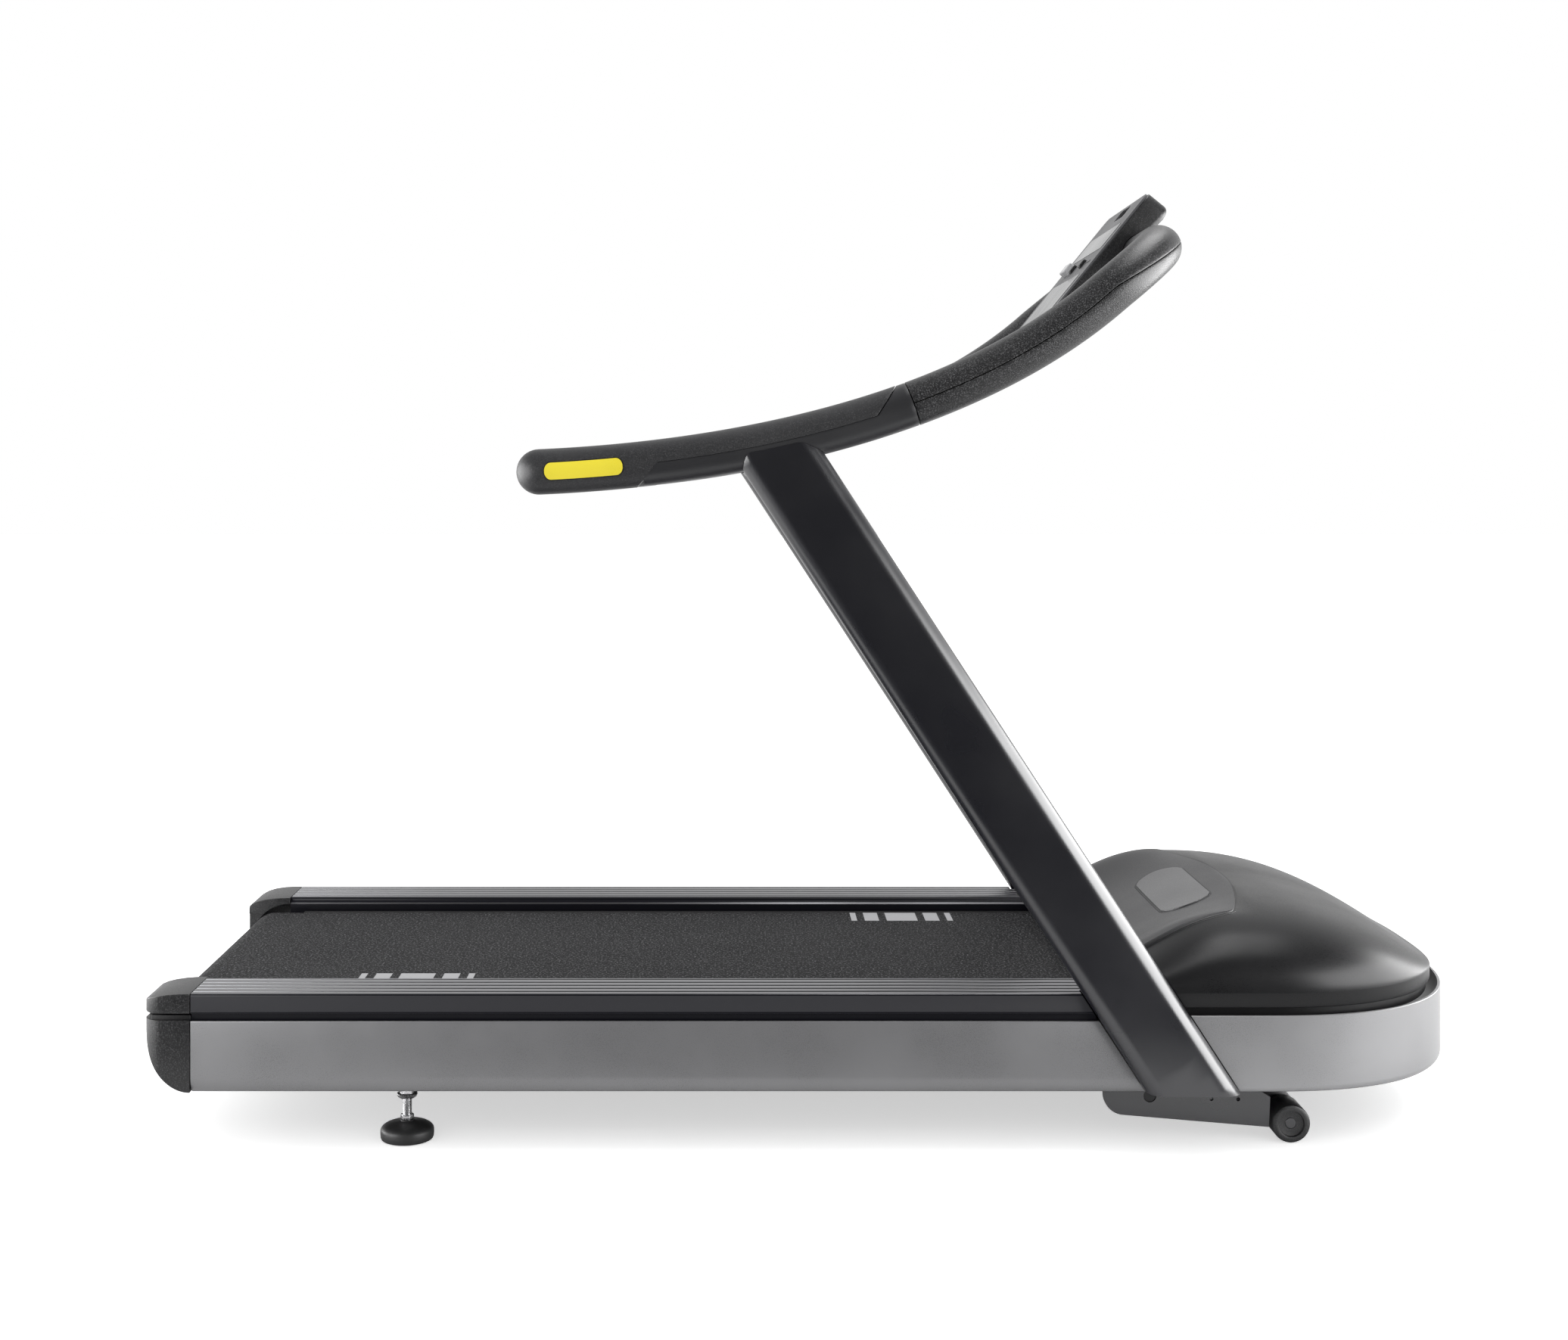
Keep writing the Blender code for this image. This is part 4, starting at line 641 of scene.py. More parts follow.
def hood_height(x, y):
    """The hood's surface: the crown, rolled down to the crease at its sides, less the badge's valley."""
    ahead = max(0.0, (x - HOOD_SHOULDER) / (HOOD_TIP - HOOD_SHOULDER))
    out = (abs(y / HOOD_HALF_WIDTH) ** SIDE_FULLNESS + ahead**NOSE_FULLNESS) ** (1 / SIDE_FULLNESS)
    roll = max(0.0, 1 - min(1.0, out) ** 5) ** 0.5
    along = min(1.0, (x - HOOD_REAR) / VALLEY_LENGTH)
    across = max(0.0, 1 - (y / VALLEY_HALF_WIDTH) ** 4) ** 1.5
    edge = hood_edge(x)
    return edge + (hood_top(x) - edge) * roll - VALLEY_DEPTH * math.sin(math.pi * along) * across


def nose_curve(half, tip, count):
    """The full, rounded nose in plan, from the right side round to the left."""
    curve = []
    for turn in (math.radians(angle) for angle in shares(-90, 90, count + 1)):
        ahead, across = max(0.0, math.cos(turn)) ** (2 / NOSE_FULLNESS), math.sin(turn)
        y = half * math.copysign(abs(across) ** (2 / SIDE_FULLNESS), across)
        curve.append((HOOD_SHOULDER + (tip - HOOD_SHOULDER) * ahead, y))
    return curve


def motor_hood():
    """The hood's skin, a grid that closes toward its edges, made thick and cut clear of the uprights."""
    columns, rows = 90, 96
    grid = []
    for j in range(rows + 1):
        across = 2 * j / rows - 1
        v = math.sin(across * math.pi / 2 * 0.75 + across**3 * math.pi / 2 * 0.25)
        reach = max(0.0, 1 - abs(v) ** SIDE_FULLNESS) ** (1 / NOSE_FULLNESS)
        front = HOOD_SHOULDER + (HOOD_TIP - HOOD_SHOULDER) * reach
        line = []
        for i in range(columns + 1):
            x = HOOD_REAR + (front - HOOD_REAR) * math.sin(math.pi / 2 * i / columns) ** 1.1
            y = v * HOOD_HALF_WIDTH
            line.append(Vector((x, y, max(hood_edge(x), hood_height(x, y)))))
        grid.append(line)
    mesh = mesh_of("motor_hood_look", *skin(grid, caps=False, cyclic=False))
    turn_outward(mesh, merge=True)
    hood = dressed("motor_hood_look", mesh, "hood_plastic", replaced=("motor_hood",))
    thick = hood.modifiers.new("wall", "SOLIDIFY")
    thick.thickness = 0.003
    thick.offset = -1
    clear = (UPRIGHT_REACH + SEAM, -0.6, UPRIGHT_INNER - SEAM)
    cutters = [slope_cutter(side, *clear) for side in SIDES.values()]
    return settle(hood, cutters, smooth_angle=40)


def hood_rim():
    """The hood's edge: a short upright band, a step in, and a skirt that stands inside the shell."""
    lip, skirt = HOOD_LIP, HOOD_SKIRT
    from_crease = ((1.0, 0.0), (1.0, 0.0012), (0.9985, 0.0030))
    fixed = ((0.9985, lip + 0.0015), (0.996, lip), (0.982, lip), (0.982, skirt), (0.974, skirt))
    fixed += ((0.974, lip + 0.0030), (0.990, lip + 0.0030))
    section = [(scale, 1, -drop) for scale, drop in from_crease] + [(scale, 0, z) for scale, z in fixed]
    section.append((0.990, 1, 0.0))
    rings = []
    for scale, follows, height in section:
        half, tip = HOOD_HALF_WIDTH * scale, HOOD_SHOULDER + (HOOD_TIP - HOOD_SHOULDER) * scale
        start = UPRIGHT_X0 + RAKE * (height + follows * HOOD_EDGE) + UPRIGHT_REACH + SEAM
        straight = [(start + (HOOD_SHOULDER - start) * i / 8, -half) for i in range(8)]
        line = straight + nose_curve(half, tip, 96) + [(x, -y) for x, y in reversed(straight)]
        rings.append([Vector((x, y, height + follows * hood_edge(x))) for x, y in line])
    paths = [list(path) for path in zip(*rings)]
    return piece("hood_rim", *skin(paths), "hood_plastic", replaced=("motor_hood",), smooth_angle=40)


def patch(name, outline, centre, lift, thickness, slot, look, replaced=(), rings=26, rim=0.0016):
    """A plate that follows the hood: an outline filled from a centre, rounded at its rim and closed below."""
    centre = Vector((*centre, 0))
    outline = [Vector((*p, 0)) for p in outline]
    reach = sum((p - centre).length for p in outline) / len(outline)
    top = [(1 - (1 - i / rings) ** 1.4, 0.0) for i in range(1, rings)] + [(1 - rim / reach, 0.0)]
    top += [(1 - rim / reach * (1 - math.sin(a)), rim * (1 - math.cos(a))) for a in (0.5, 1.0, math.pi / 2)]
    section = top + [(share, thickness) for share in (1.0, 0.66, 0.33)]
    rows = [[surface_point(centre.lerp(p, share), lift, drop) for p in outline] for share, drop in section]
    verts, faces = skin(rows, caps=False)
    count, last = len(outline), len(rows) - 1
    for row, drop in ((0, 0.0), (last, thickness)):
        verts.append(surface_point(centre, lift, drop))
        faces += [(len(verts) - 1, row * count + j, row * count + (j + 1) % count) for j in range(count)]
    return piece(name, verts, faces, slot, look, replaced=replaced, smooth_angle=38)


def surface_point(place, lift, drop):
    """A point over the hood. The lift is given in the middle and at the sides, where plates stand prouder."""
    middle, side = lift
    fade = min(1.0, max(0.0, (PANEL_FRONT - place.x) / (PANEL_FRONT - 0.55)))
    height = middle + (side - middle) * fade * min(1.0, abs(place.y) / PANEL_HALF_WIDTH) ** 4
    return Vector((place.x, place.y, hood_height(place.x, place.y) + height - drop))


def panel_outline(grow=0.0):
    """The hood's middle panel in plan: sides that close in, round corners and a front that bows ahead."""
    close, turn, bow = 0.033, 0.012, PANEL_FRONT - PANEL_CORNER
    half, corner = PANEL_HALF_WIDTH - close + grow, PANEL_CORNER + grow
    start, bend, side = HOOD_REAR + 0.004, 0.45, []
    for x in shares(start, corner - turn, 25):
        side.append((x, half + close * (1 - max(0.0, (x - bend) / (corner - bend)) ** 2.2)))
    ahead = (corner + bow * (1 - (1 - turn / half) ** 2), half - turn)
    last = side[-1]
    for t in shares(0, 1, 10)[1:-1]:
        parts = zip(last, (corner, half), ahead)
        side.append(tuple(a * (1 - t) ** 2 + b * 2 * t * (1 - t) + c * t * t for a, b, c in parts))
    front = [(half - turn) * (1 - 2 * i / 40) for i in range(41)]
    middle = [(corner + bow * (1 - (y / half) ** 2), y) for y in front]
    rear = [(start, side[0][1] * (2 * i / 16 - 1)) for i in range(1, 16)]
    return side + middle + [(x, -y) for x, y in reversed(side)] + rear


def rounded_rectangle(centre, size, radius, count=9):
    """A rectangle with round corners, and points along its sides so that it can follow a curved surface."""
    (x, y), (w, h) = centre, (size[0] / 2 - radius, size[1] / 2 - radius)
    corners = ((w, h, 0), (-w, h, 90), (-w, -h, 180), (w, -h, 270))
    points = []
    for dx, dy, start in corners:
        points += arc((x + dx, y + dy), radius, start, start + 90, count)
    full = []
    for a, b in zip(points, points[1:] + points[:1]):
        steps = max(1, round(math.hypot(b[0] - a[0], b[1] - a[1]) / 0.008))
        full += [(a[0] + (b[0] - a[0]) * i / steps, a[1] + (b[1] - a[1]) * i / steps) for i in range(steps)]
    return full


def badge_outline(grow=0.0):
    """The badge in plan: straight front and rear edges, round corners and sides that bow outward."""
    length, width, radius = BADGE_LENGTH + 2 * grow, BADGE_WIDTH + 2 * grow, 0.012 + grow
    outline = rounded_rectangle((BADGE_X, 0), (length, width), radius)
    bowed = []
    for x, y in outline:
        out = max(0.0, 1 - (2 * (x - BADGE_X) / length) ** 2)
        bowed.append((x, y * (1 + BADGE_BOW * out / (width / 2))))
    return bowed


def hood_dressing():
    """The lighter panel in its groove, and the plain badge in its bed. Groove and bed are near-black plates a
    little wider than panel and badge: painted shade in the gaps.
    """
    centre, middle, slot = (0.53, 0), (BADGE_X, 0), "hood_plastic"
    groove, flat, low, high = 0.0030, 0.0006, 0.0016, 0.0056
    wide = panel_outline(groove)
    # Painted shade: the near-black plate shows as a dark groove round the panel.
    patch("hood_panel_groove_shade", wide, centre, (flat, flat), 0.002, slot, "dark_edge", rim=0.0005)
    patch("hood_panel", panel_outline(), centre, (low, high), 0.0066, slot, "panel_plastic", rim=0.0032)
    for name, outline, rise, slot, look, rim, nodes in (
        # Painted shade: the near-black bed shows as a dark gap round the badge.
        ("hood_badge_bed_shade", badge_outline(groove), 0.0007, slot, "dark_edge", 0.0004, ()),
        ("hood_badge_look", badge_outline(), 0.0019, "badge_plate", None, 0.0006, ("hood_badge",)),
    ):
        patch(name, outline, middle, (low + rise, high + rise), 0.002, slot, look, nodes, 12, rim)


# Base


def nose_outline(inset):
    half = HALF_WIDTH - inset
    return [(SHELL_REAR, -half)] + nose_curve(half, NOSE - inset, 72) + [(SHELL_REAR, half)]


def shell_section(inset):
    """How far in, and how high, each ring of the shell's wall stands, from the top edge down and under."""
    corner, lip, edge = 0.011, 0.026, 0.0007
    bend = BASE_BOTTOM + corner
    rings = [(inset + edge, SHELL_TOP), (inset, SHELL_TOP - edge)]
    rings += [(inset, bend + (SHELL_TOP - BASE_BOTTOM - corner) * share) for share in (0.8, 0.6, 0.4, 0.2)]
    for angle in quarter(11):
        rings.append((corner - (corner - inset) * math.cos(angle), bend - (corner - inset) * math.sin(angle)))
    return rings + [(lip, BASE_BOTTOM + inset)]


def front_shell():
    """The silver nose: one wall that rolls under at its foot, with a crisp top edge."""
    section = shell_section(0.0) + shell_section(SHELL_WALL)[::-1]
    rings = [[Vector((x, y, z)) for x, y in nose_outline(inset)] for inset, z in section]
    verts, faces = skin(rings, caps=False, cyclic=False)
    count, total = len(rings[0]), len(rings)
    for j in range(count - 1):
        faces.append(((total - 1) * count + j, (total - 1) * count + j + 1, j + 1, j))
    for j in (0, count - 1):
        faces.append(tuple(i * count + j for i in range(total)))
    # The nose takes the lighter copy of the silver paint: painted light.
    made = piece("front_shell_look", verts, faces, "silver_paint", "silver_paint_lit_nose", replaced=("front_shell",))
    cutters = [slope_cutter(side, UPRIGHT_REACH + SEAM, -0.6, 0.30) for side in SIDES.values()]
    return settle(made, cutters, smooth_angle=38)


def slope_cutter(side, ahead, far, inner):
    """What a cover loses to the upright: everything from its slope to a far X, outside an inner Y."""
    low, high = -0.05, 0.60
    line = [(UPRIGHT_X0 + RAKE * z + ahead, z) for z in (low, high)]
    start, end = span(side, inner, 0.6)
    return helper(*prism([(far, low), *line, (far, high)], "Y", start, end))


def foot_rail(name, side):
    """The ribbed extrusion: five grooves along its top, a rounded shoulder and a plain band at its side."""
    corner, grooves, pitch, depth, first = 0.0045, 5, 0.0175, 0.0030, 0.0115
    top, bottom, outer, inner = RAIL_HIGH.z, RAIL_BAND_BOTTOM, RAIL_HIGH.y, RAIL_LOW.y
    leg_inner, leg_outer = 0.332, 0.3722
    points = [(leg_inner, RAIL_LOW.z), (leg_outer, RAIL_LOW.z), (leg_outer, bottom), (outer, bottom)]
    points += [(outer, bottom + 0.0022), (outer - RAIL_BAND_INSET, bottom + 0.0030)]
    points += arc((outer - RAIL_BAND_INSET - corner, top - corner), corner, 0, 90, 9)
    for i in range(grooves):
        y = outer - first - i * pitch
        points += [(y, top), (y - 0.0008, top - depth), (y - 0.0037, top - depth), (y - 0.0045, top)]
    points += [(inner + 0.0120, top), (inner + 0.0075, top - 0.0030), (inner + 0.0068, top - 0.0060)]
    points += [(inner + 0.0048, top - 0.0062), (inner, top - 0.0120)]
    points += [(inner, bottom + 0.0015), (leg_inner, bottom + 0.0015)]
    outline = [(side * y, z) for y, z in points]
    rail = prism(outline, "X", RAIL_LOW.x + 0.001, RAIL_HIGH.x)
    made = piece(f"foot_rail_{name}_look", *rail, "dark_aluminium", replaced=(f"foot_rail_{name}",))
    end = slope_cutter(side, -UPRIGHT_REACH - SEAM, NOSE + 0.3, UPRIGHT_INNER - SEAM)
    return settle(made, (end,), bevel=0.0005, segments=2)


def side_panel(name, side):
    """The silver cover along the base: a crisp top edge, a flat face and a foot that rolls in below."""
    wall, roll_height, roll_depth, edge = SHELL_WALL, 0.026, 0.012, 0.0016
    outer = PANEL_HIGH.y
    points = arc((outer - edge, PANEL_HIGH.z - edge), edge, 90, 0, 6)
    rolled = [(roll_depth * (1 - math.cos(a)), roll_height * math.sin(a)) for a in quarter(15)]
    points += [(outer - inward, BASE_BOTTOM + roll_height - down) for inward, down in rolled]
    points += [(PANEL_LOW.y, BASE_BOTTOM), (PANEL_LOW.y, BASE_BOTTOM + wall)]
    points += [(outer - roll_depth, BASE_BOTTOM + wall), (outer - wall, BASE_BOTTOM + roll_height)]
    points += [(outer - wall, PANEL_HIGH.z)]
    outline = [(side * y, z) for y, z in points]
    panel = prism(outline, "X", PANEL_LOW.x + 0.0012, PANEL_END)
    made = piece(f"side_panel_{name}_look", *panel, "silver_paint", replaced=(f"side_panel_{name}",))
    end = slope_cutter(side, -UPRIGHT_REACH - SEAM, NOSE + 0.3, 0.0)
    return settle(made, (end,), bevel=0.0004, segments=2)


def rear_corner(side):
    """What the rounded rear corner takes away from the caps, in plan."""
    rear = CAP_LOW.x
    depth, inner = 0.030, 0.300
    width = CAP_HIGH.y - inner
    points = [(rear - 0.05, 0.26), (rear - 0.0002, 0.26)]
    for a in quarter(15)[::-1]:
        points.append((rear + depth * (1 - math.sin(a)) ** 1.6, inner + width * math.cos(a) ** 0.8))
    points += [(rear + depth, 0.42), (rear - 0.05, 0.42)]
    return helper(*prism([(x, side * y) for x, y in points], "Z", 0.05, 0.30))


def rear_cap_upper(name, side):
    """The moulded end of a foot rail. An arch inside it clears the belt's end."""
    rear, front, top, bottom = CAP_LOW.x, CAP_HIGH.x, CAP_HIGH.z, RAIL_BAND_BOTTOM
    line = [(front, top - 0.0002), (front - 0.016, top - 0.0004), (front - 0.030, top - 0.0013)]
    line += [(front - 0.046, top - 0.0035), (rear + 0.014, top - 0.0067), (rear + 0.005, top - 0.0105)]
    line += [(rear + 0.001, top - 0.0145), (rear, top - 0.0190)]
    start, end = span(side, CAP_LOW.y, CAP_HIGH.y)
    cap = prism([(front, bottom)] + line + [(rear, bottom)], "Y", start, end)
    node = f"rear_cap_upper_{name}"
    made = piece(f"{node}_look", *cap, "black_plastic", "cap_plastic", replaced=(node,))
    made = settle(made, (rear_corner(side),), bevel=0.0035, segments=5, smooth_angle=50)
    foot, outer, wall = 0.150, 0.329, 0.004
    low, high = span(side, CAP_LOW.y + 0.0008, outer)
    skirt = helper(*block((rear + 0.0008, low, foot), (front, high, bottom + 0.006)))
    settle(skirt, (rear_corner(side),))
    arch = [(front + 0.007 + 0.067 * x, 0.180 + 0.046 * z) for x, z in arc((0, 0), 1, 0, 180, 41)]
    arch = [(arch[0][0], foot - 0.01)] + arch + [(arch[-1][0], foot - 0.01)]
    low, high = span(side, CAP_LOW.y - 0.01, outer - wall)
    settle(made, joined=(skirt,), smooth_angle=50)
    return settle(made, (helper(*prism(arch, "Y", low, high)),), smooth_angle=50)


def rear_cap_lower(name, side):
    """The moulded heel of the base, a quarter round with a ledge set in along its top."""
    top, ledge = HEEL_HIGH.z - 0.0065, 0.006
    reach, rise = HEEL_HIGH.x - HEEL_LOW.x, top - HEEL_LOW.z
    outline = [(HEEL_HIGH.x + x * reach, top + z * rise) for x, z in arc((0, 0), 1, 180, 270, 33)]
    start, end = span(side, HEEL_LOW.y, HEEL_HIGH.y)
    node = f"rear_cap_lower_{name}"
    heel = prism(outline + [(HEEL_HIGH.x, top)], "Y", start, end)
    made = piece(f"{node}_look", *heel, "black_plastic", "cap_plastic", replaced=(node,))
    settle(made, (rear_corner(side),), bevel=0.0045, segments=5, smooth_angle=50)
    start, end = span(side, HEEL_LOW.y, HEEL_HIGH.y - ledge)
    tab = block((HEEL_LOW.x + 0.012, start, top - 0.01), (HEEL_HIGH.x, end, HEEL_HIGH.z))
    tab = piece(f"cap_ledge_{name}", *tab, "black_plastic", "dark_edge", replaced=(node,))
    return settle(tab, (rear_corner(side),), bevel=0.0010)


def running_belt():
    """The endless belt, with rounded runs over both rollers."""
    centre_z = (BELT_LOW.z + BELT_HIGH.z) / 2
    outer = (BELT_HIGH.z - BELT_LOW.z) / 2
    rear, front = BELT_LOW.x + outer, BELT_HIGH.x - outer
    rings = []
    for radius in (outer, outer - 0.0022):
        line = arc((front, centre_z), radius, -90, 90, 33) + arc((rear, centre_z), radius, 90, 270, 33)
        rings.append(line)
    half, edge = BELT_HIGH.y, 0.0006
    outside, inside = rings
    sections = ((outside, half - edge), (outside, edge - half), (inside, edge - half), (inside, half - edge))
    rows = [[Vector((x, y, z)) for x, z in line] for line, y in sections]
    verts, faces = skin(rows + [rows[0]], caps=False)
    count = len(rows[0])
    merged = [tuple(i % (4 * count) for i in face) for face in faces]
    return piece("running_belt_look", verts[: 4 * count], merged, "running_belt", replaced=("running_belt",))


# Feet and lift

NUT_RADIUS = 0.0104


def foot_look(name, side):
    """A foot: a domed pad, a threaded stem and its hexagonal lock nut."""
    node, body = f"rear_foot_{name}", f"foot_{name}"
    low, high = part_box(node)
    x, y = (low.x + high.x) / 2, (low.y + high.y) / 2
    dome = [(0, 0.0), (0.0360, 0.0), (0.0385, 0.0008), (0.0395, 0.0030), (0.0400, 0.0080)]
    dome += [(0.0400, 0.0130), (0.0392, 0.0158), (0.0375, 0.0180), (0.0340, 0.0204), (0.0290, 0.0224)]
    dome += [(0.0200, 0.0244), (0.0130, 0.0258), (0.0100, 0.0270), (0.0092, 0.0282), (0.0075, 0.0286)]
    dome += [(0, 0.0286)]
    pad = turned(dome, (x, y, 0), (0, 0, 1), 56)
    piece(f"foot_pad_{name}", *pad, "rubber", body=body, replaced=(node,))
    stem = threaded_rod(x, y, 0.0284, high.z - 0.004)
    piece(f"foot_stem_{name}", *stem, "zinc_steel", body=body, replaced=(node,), smooth_angle=60)
    node = f"foot_lock_nut_{name}"
    low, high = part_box(node)
    turns = [math.pi / 3 * i for i in range(6)]
    hexagon = [(x + NUT_RADIUS * math.cos(turn), y + NUT_RADIUS * math.sin(turn)) for turn in turns]
    shape = prism(hexagon, "Z", low.z, high.z)
    nut = piece(f"foot_nut_{name}", *shape, "zinc_steel", body=body, replaced=(node,))
    settle(nut, bevel=0.0008, segments=2)


def threaded_rod(x, y, start, end):
    """Points and faces of an upright rod whose radius follows a helix."""
    rings, radius, depth, pitch, sides = [], 0.0070, 0.00075, 0.00175, 40
    for z in shares(start, end, round((end - start) / (pitch / 6)) + 1):
        ring = []
        for j in range(sides):
            turn = (z / pitch - j / sides) % 1
            thread = radius - depth * abs(2 * turn - 1)
            angle = 2 * math.pi * j / sides
            ring.append(Vector((x + thread * math.cos(angle), y + thread * math.sin(angle), z)))
        rings.append(ring)
    return skin(rings)


def foot_socket(name, side):
    """The flanged insert in the frame that a foot's stem screws into."""
    low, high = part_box(f"rear_foot_{name}")
    centre = ((low.x + high.x) / 2, (low.y + high.y) / 2, 0)
    profile = [(0.0078, 0.0980), (0.0110, 0.0980), (0.0110, 0.0690), (0.0150, 0.0680), (0.0158, 0.0668)]
    profile += [(0.0140, 0.0632), (0.0110, 0.0610), (0.0078, 0.0606), (0.0078, 0.0980)]
    verts, faces = turned(profile, centre, (0, 0, 1), 48)
    piece(f"foot_socket_{name}", verts, faces, "zinc_steel")


def wheel_look(name, side):
    """A lift wheel with rounded shoulders and a hub sunk in its outer face."""
    node = f"lift_wheel_{name}"
    low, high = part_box(node)
    centre = Vector((low + high)) / 2
    half, radius = (high.y - low.y) / 2, (high.z - low.z) / 2
    shoulder = ((radius, half - 0.004), (radius - 0.0012, half - 0.0012), (radius - 0.004, half))
    profile = [(0.0083, -half)] + [(r, -y) for r, y in reversed(shoulder)] + list(shoulder)
    profile += [(0.0215, half), (0.0195, half - 0.0005), (0.0185, half - 0.0040), (0.0100, half - 0.0055)]
    profile += [(0.0083, half - 0.0055), profile[0]]
    verts, faces = turned(profile, centre, (0, side, 0), 64)
    body = f"wheel_{name}"
    made = piece(f"{body}_look", verts, faces, "rubber", "black_plastic", body, replaced=(node,))
    turn_outward(made.data, merge=True)


def lever_piece(name, shape):
    """A steel piece that rides on the lift lever."""
    return piece(name, *shape, "painted_steel", body="lift_lever", replaced=("lift_frame",))


def lift_look():
    """The lever: two cheeks with round rear ends, a cross tube, and an arm and stub axle for each wheel."""
    bar, wheel, pivot = (0.600, 0.064), (0.7025, 0.0285), (0.493, 0.068)
    cheek_y, arm_y, axle_y, hole_reach = (0.3145, 0.3195), (0.262, 0.270), 0.2945, 0.02
    cheek = arc((0.455, 0.0715), 0.032, 180, 262, 22) + [(0.560, 0.0305), (0.671, 0.0215), (0.673, 0.066)]
    cheek += [(0.640, 0.0865), (0.423, 0.0865)]
    arm = [(0.590, 0.086), (0.590, 0.052), (0.640, 0.030), *arc(wheel, 0.0262, 235, 405, 30), (0.690, 0.086)]
    for name, side in SIDES.items():
        plate = lever_piece(f"lift_cheek_{name}", prism(cheek, "Y", *span(side, *cheek_y)))
        holes = []
        for x, z, radius in ((*pivot, 0.0096), (0.585, 0.0635, 0.003), (0.625, 0.0630, 0.003)):
            profile = rod(radius, hole_reach)
            holes.append(helper(*turned(profile, (x, side * 0.317, z), (0, 1, 0), 32)))
        settle(plate, holes)
        plate = lever_piece(f"wheel_arm_{name}", prism(arm, "Y", *span(side, *arm_y)))
        settle(plate, bevel=0.0010, segments=2)
        end = ((0.008, 0.0285), (0.0075, 0.029), (0, 0.029))
        profile = [(radius, -y) for radius, y in reversed(end)] + list(end)
        lever_piece(f"stub_axle_{name}", turned(profile, (wheel[0], side * axle_y, wheel[1]), (0, 1, 0), 32))
    lever_piece("lift_cross_tube", turned(rod(0.017, 0.3165), (bar[0], 0, bar[1]), (0, 1, 0), 48))


# Console


def console_place(down, right, out):
    sin, cos = math.sin(CONSOLE_TILT), math.cos(CONSOLE_TILT)
    return Vector((CONSOLE_TOP[0] - down * cos - out * sin, -right, CONSOLE_TOP[1] - down * sin + out * cos))


def console_back(down):
    """How far behind the face the housing's back lies."""
    stations = ((0.0, 0.0440), (0.020, 0.0460), (0.052, 0.0430), (0.180, 0.0340), (0.360, 0.0200))
    for (a, x), (b, y) in zip(stations, stations[1:]):
        if down <= b:
            return -(x + (y - x) * (max(down, a) - a) / (b - a))
    return -stations[-1][1]


def inward(outline, amount):
    """An outline drawn in by an amount, point by point."""
    moved = []
    for before, here, after in zip(outline[-1:] + outline[:-1], outline, outline[1:] + outline[:1]):
        along = (Vector(after) - Vector(before)).normalized()
        moved.append((here[0] - along.y * amount, here[1] + along.x * amount))
    return moved


def dish(name, outline, levels, centre, floor, node):
    """A closed form on the console: rings of an outline by inset and height rule, round a filled middle."""
    down, right = centre
    rows = [[console_place(a, b, height(a)) for a, b in inward(outline, inset)] for inset, height in levels]
    for share in (0.66, 0.33):
        drawn_in = [(down + (a - down) * share, right + (b - right) * share) for a, b in outline]
        rows.append([console_place(a, b, floor(a)) for a, b in drawn_in])
    verts, faces = skin(rows, caps=False)
    count, last = len(outline), len(rows) - 1
    verts.append(console_place(*centre, floor(centre[0])))
    faces += [(len(verts) - 1, last * count + (j + 1) % count, last * count + j) for j in range(count)]
    faces.append(tuple(range(count)))
    return piece(name, verts, faces, "black_plastic", replaced=(node,), smooth_angle=34)


def console_outline():
    return rounded_rectangle((CONSOLE_LENGTH / 2, 0), (CONSOLE_LENGTH, 2 * CONSOLE_HALF_WIDTH), 0.020)


def console_housing():
    """The housing: rounded corners and back, a bezel, a channel for the handlebar, key wells and a slot."""
    fillet, middle = 0.009, (CONSOLE_LENGTH / 2, 0)
    levels = [(0.0012, lambda a: -0.0036), (0.0, lambda a: -0.0050)]
    for turn in quarter(7):
        rise = fillet * (1 - math.sin(turn))
        levels.append((fillet * (1 - math.cos(turn)), lambda a, rise=rise: console_back(a) + rise))
    made = dish("console_housing_look", console_outline(), levels, middle, console_back, "console_housing")
    bar = bar_line(151)[75]
    channel = helper(*turned(rod(ARM_RADIUS + 0.0015, 0.2), (bar.x, 0, bar.z), (0, 1, 0), 64))
    wells = [key_well(key, 0.0012, -0.0088, 0.02) for key in KEY_PLACES]
    return settle(made, (channel, *wells, console_block(*SLOT, -0.0095, 0.02)), smooth_angle=34)


def console_face():
    """The face plate set in the bezel, cut for the keys and the slot."""
    face = inward(console_outline(), 0.0028)
    levels = ((0.0, -0.0034), (0.0, -0.0006), (0.0006, 0.0))
    rings = [[console_place(a, b, out) for a, b in inward(face, inset)] for inset, out in levels]
    # The face's grey is painted reflection of the pale studio.
    made = piece("console_face_look", *skin(rings), "console_glass", replaced=("console_face",))
    wells = [key_well(key, 0.0006, -0.02, 0.02) for key in KEY_PLACES]
    return settle(made, (*wells, console_block(*SLOT, -0.02, 0.02)), smooth_angle=34)


def console_marks():
    """Two blank screens, and a row of plain dots that leaves room for the keys."""
    for title, down, tall in (("upper", 0.084, 0.052), ("lower", 0.248, 0.170)):
        slab = console_slab((down, 0.0), (tall, 0.262), 0.008, -0.001, 0.0005)
        piece(f"console_{title}_screen", *slab, "console_glass", "screen_glass")
    dot, pitch, reach = 0.0052, 0.011, 0.118
    for i in range(5):
        for right in (-reach + i * pitch, reach - i * pitch):
            if abs(right + 0.080) > 0.03 and abs(right - 0.058) > 0.014:
                slab = console_slab((0.135, right), (dot, dot), 0.0025, -0.001, 0.0007)
                piece(f"console_dot_{i}_{'far' if right < 0 else 'near'}", *slab, "pale_key", "badge_plate")


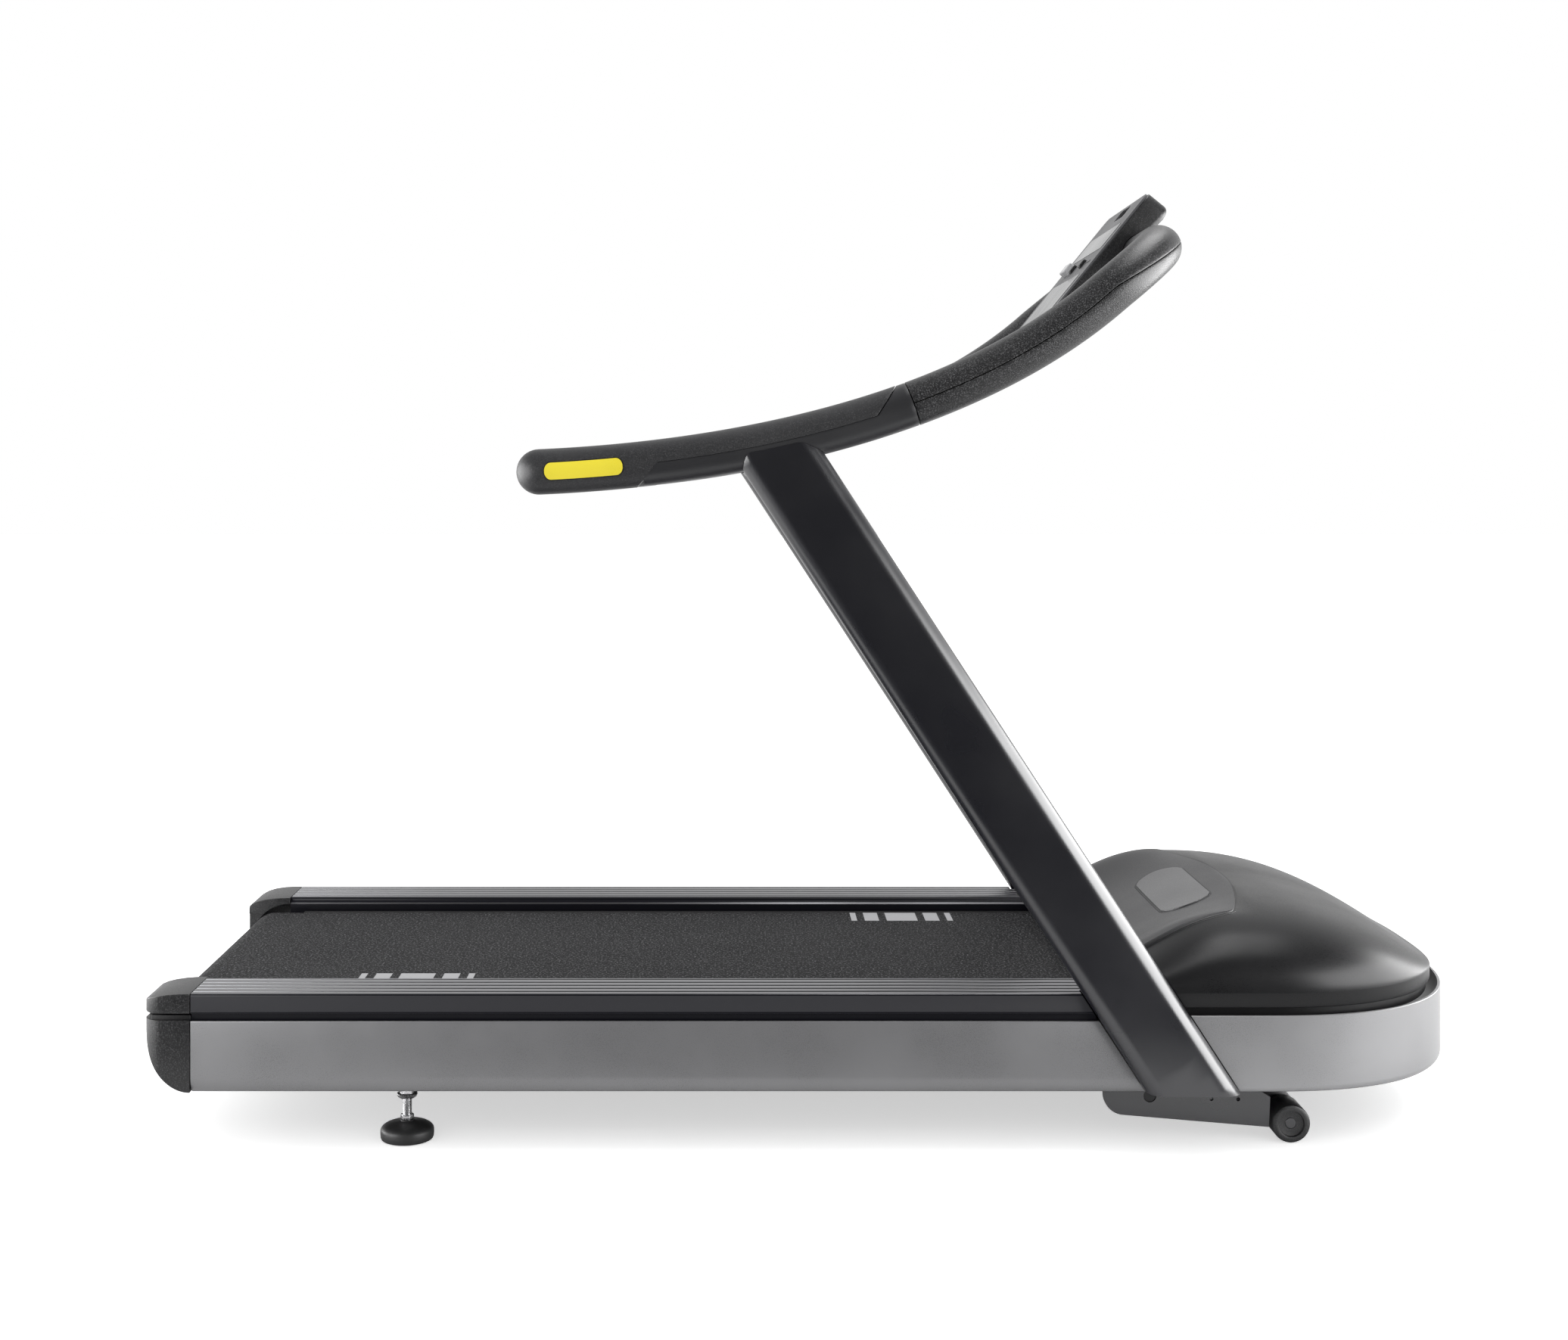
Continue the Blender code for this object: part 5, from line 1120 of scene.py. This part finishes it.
def console_slab(centre, size, radius, low, high):
    """Points and faces of a rounded plate between two heights over the console's face."""
    outline = rounded_rectangle(centre, size, radius)
    return skin([[console_place(a, b, out) for a, b in outline] for out in (low, high)])


def console_block(*slab):
    return helper(*console_slab(*slab))


def key_well(key, grow, low, high):
    """A cutter a little larger than a key."""
    down, right, wide, tall = KEY_PLACES[key]
    return console_block((down, right), (tall + 2 * grow, wide + 2 * grow), 0.0025, low, high)


# Stage

FLOOR_FADE = (-0.68, -1.00)


def floor_material():
    """Pale all over. Reflections see it dark beyond a strip beside the machine, as if it ended there."""
    made = bpy.data.materials.new("pale_floor")
    made.use_nodes = True
    nodes, links = made.node_tree.nodes, made.node_tree.links
    shader = nodes["Principled BSDF"]
    shader.inputs["Roughness"].default_value = 0.9
    shader.inputs["Specular IOR Level"].default_value = 0.2
    far = spread(made, coordinates(made)["Y"], 0.0, 1.0, *FLOOR_FADE, smooth=True)
    path = nodes.new("ShaderNodeLightPath")
    dark = maths(made, "MULTIPLY", far, path.outputs["Is Glossy Ray"])
    links.new(mixed(made, dark, (0.95, 0.95, 0.95), (0.02, 0.02, 0.025)), shader.inputs["Base Color"])
    shader.inputs["Emission Color"].default_value = (1, 1, 1, 1)
    glow = maths(made, "MULTIPLY", path.outputs["Is Camera Ray"], 0.55)
    links.new(glow, shader.inputs["Emission Strength"])
    return made


def studio_world():
    """White to the eye and for soft light. Reflections see it white behind the machine and dark before it."""
    made = bpy.data.worlds.new("studio")
    made.use_nodes = True
    nodes, links = made.node_tree.nodes, made.node_tree.links
    back = nodes["Background"]
    back.inputs["Color"].default_value = (1, 1, 1, 1)
    mirrored = spread(made, coordinates(made, "Generated")["Y"], 0.035, 0.95, -0.15, 0.75, smooth=True)
    path = nodes.new("ShaderNodeLightPath")
    soft = maths(made, "ADD", 1.0, maths(made, "MULTIPLY", path.outputs["Is Diffuse Ray"], 0.10))
    change = maths(made, "MULTIPLY", path.outputs["Is Glossy Ray"], maths(made, "SUBTRACT", mirrored, 1.0))
    links.new(maths(made, "ADD", soft, change), back.inputs["Strength"])
    return made


def stage():
    """The floor, the world, three soft lights and the camera."""
    floor = bpy.data.meshes.new("floor")
    floor.from_pydata([(-30, -30, 0), (30, -30, 0), (30, 30, 0), (-30, 30, 0)], [], [(0, 1, 2, 3)])
    ground = bpy.data.objects.new("floor", floor)
    ground.location = (0, 0, -0.0005)
    bpy.context.scene.collection.objects.link(ground)
    floor.materials.append(floor_material())
    bpy.context.scene.world = studio_world()
    for name, place, size, power, diffuse in (
        ("overhead", (0.9, -0.1, 3.2), (2.2, 1.2), 45, True),
        ("rear_panel", (-2.6, -0.4, 0.9), (4.2, 2.0), 190, False),
        ("front_panel", (2.7, -0.5, 0.9), (4.6, 1.7), 240, False),
    ):
        data = bpy.data.lights.new(name, "AREA")
        data.shape = "RECTANGLE"
        data.size, data.size_y = size
        data.energy = power
        lamp = bpy.data.objects.new(name, data)
        lamp.location = place
        lamp.rotation_euler = (Vector((0, 0, 0.6)) - Vector(place)).to_track_quat("-Z", "Y").to_euler()
        lamp.visible_diffuse = diffuse
        bpy.context.scene.collection.objects.link(lamp)
    data = bpy.data.cameras.new("camera")
    data.lens, data.sensor_width = 45.03, 36
    data.shift_x, data.shift_y = 0.0343, -0.1233
    camera = bpy.data.objects.new("camera", data)
    camera.location = (-0.1345, -3.252, 0.994)
    camera.rotation_euler = (math.pi / 2, 0, 0)
    bpy.context.scene.collection.objects.link(camera)
    bpy.context.scene.camera = camera
    bpy.context.scene.view_settings.view_transform = "Standard"


# Assembly

# Painted shade: the pivot is made near black so that its end reads as a dark hole.
LOOK_OF = {"lift_pivot": "dark_edge"}
SLOT_OF = {entry["node"]: entry["material_slot"] for entry in frame["record"]["subparts"]}
for node, shown in frame["nodes"].items():
    shown.data.materials.clear()
    shown.data.materials.append(MATERIALS[LOOK_OF.get(node, SLOT_OF[node])])
    shown.data.shade_smooth()
    shown.data.set_sharp_from_angle(angle=math.radians(32))

stage()
for side_name, side_sign in SIDES.items():
    for build in (soft_grip, sleeve, badge_on_grip, upright, foot_look, foot_socket, foot_rail, side_panel):
        build(side_name, side_sign)
    for build in (rear_cap_upper, rear_cap_lower, wheel_look):
        build(side_name, side_sign)
cover_half("handlebar_upper_look", 1.0, 179.0, "handlebar_upper_cover")
cover_half("handlebar_lower_look", 181.0, 359.0, "handlebar_lower_cover")
motor_hood()
hood_rim()
hood_dressing()
front_shell()
running_belt()
console_housing()
console_face()
console_marks()
lift_look()
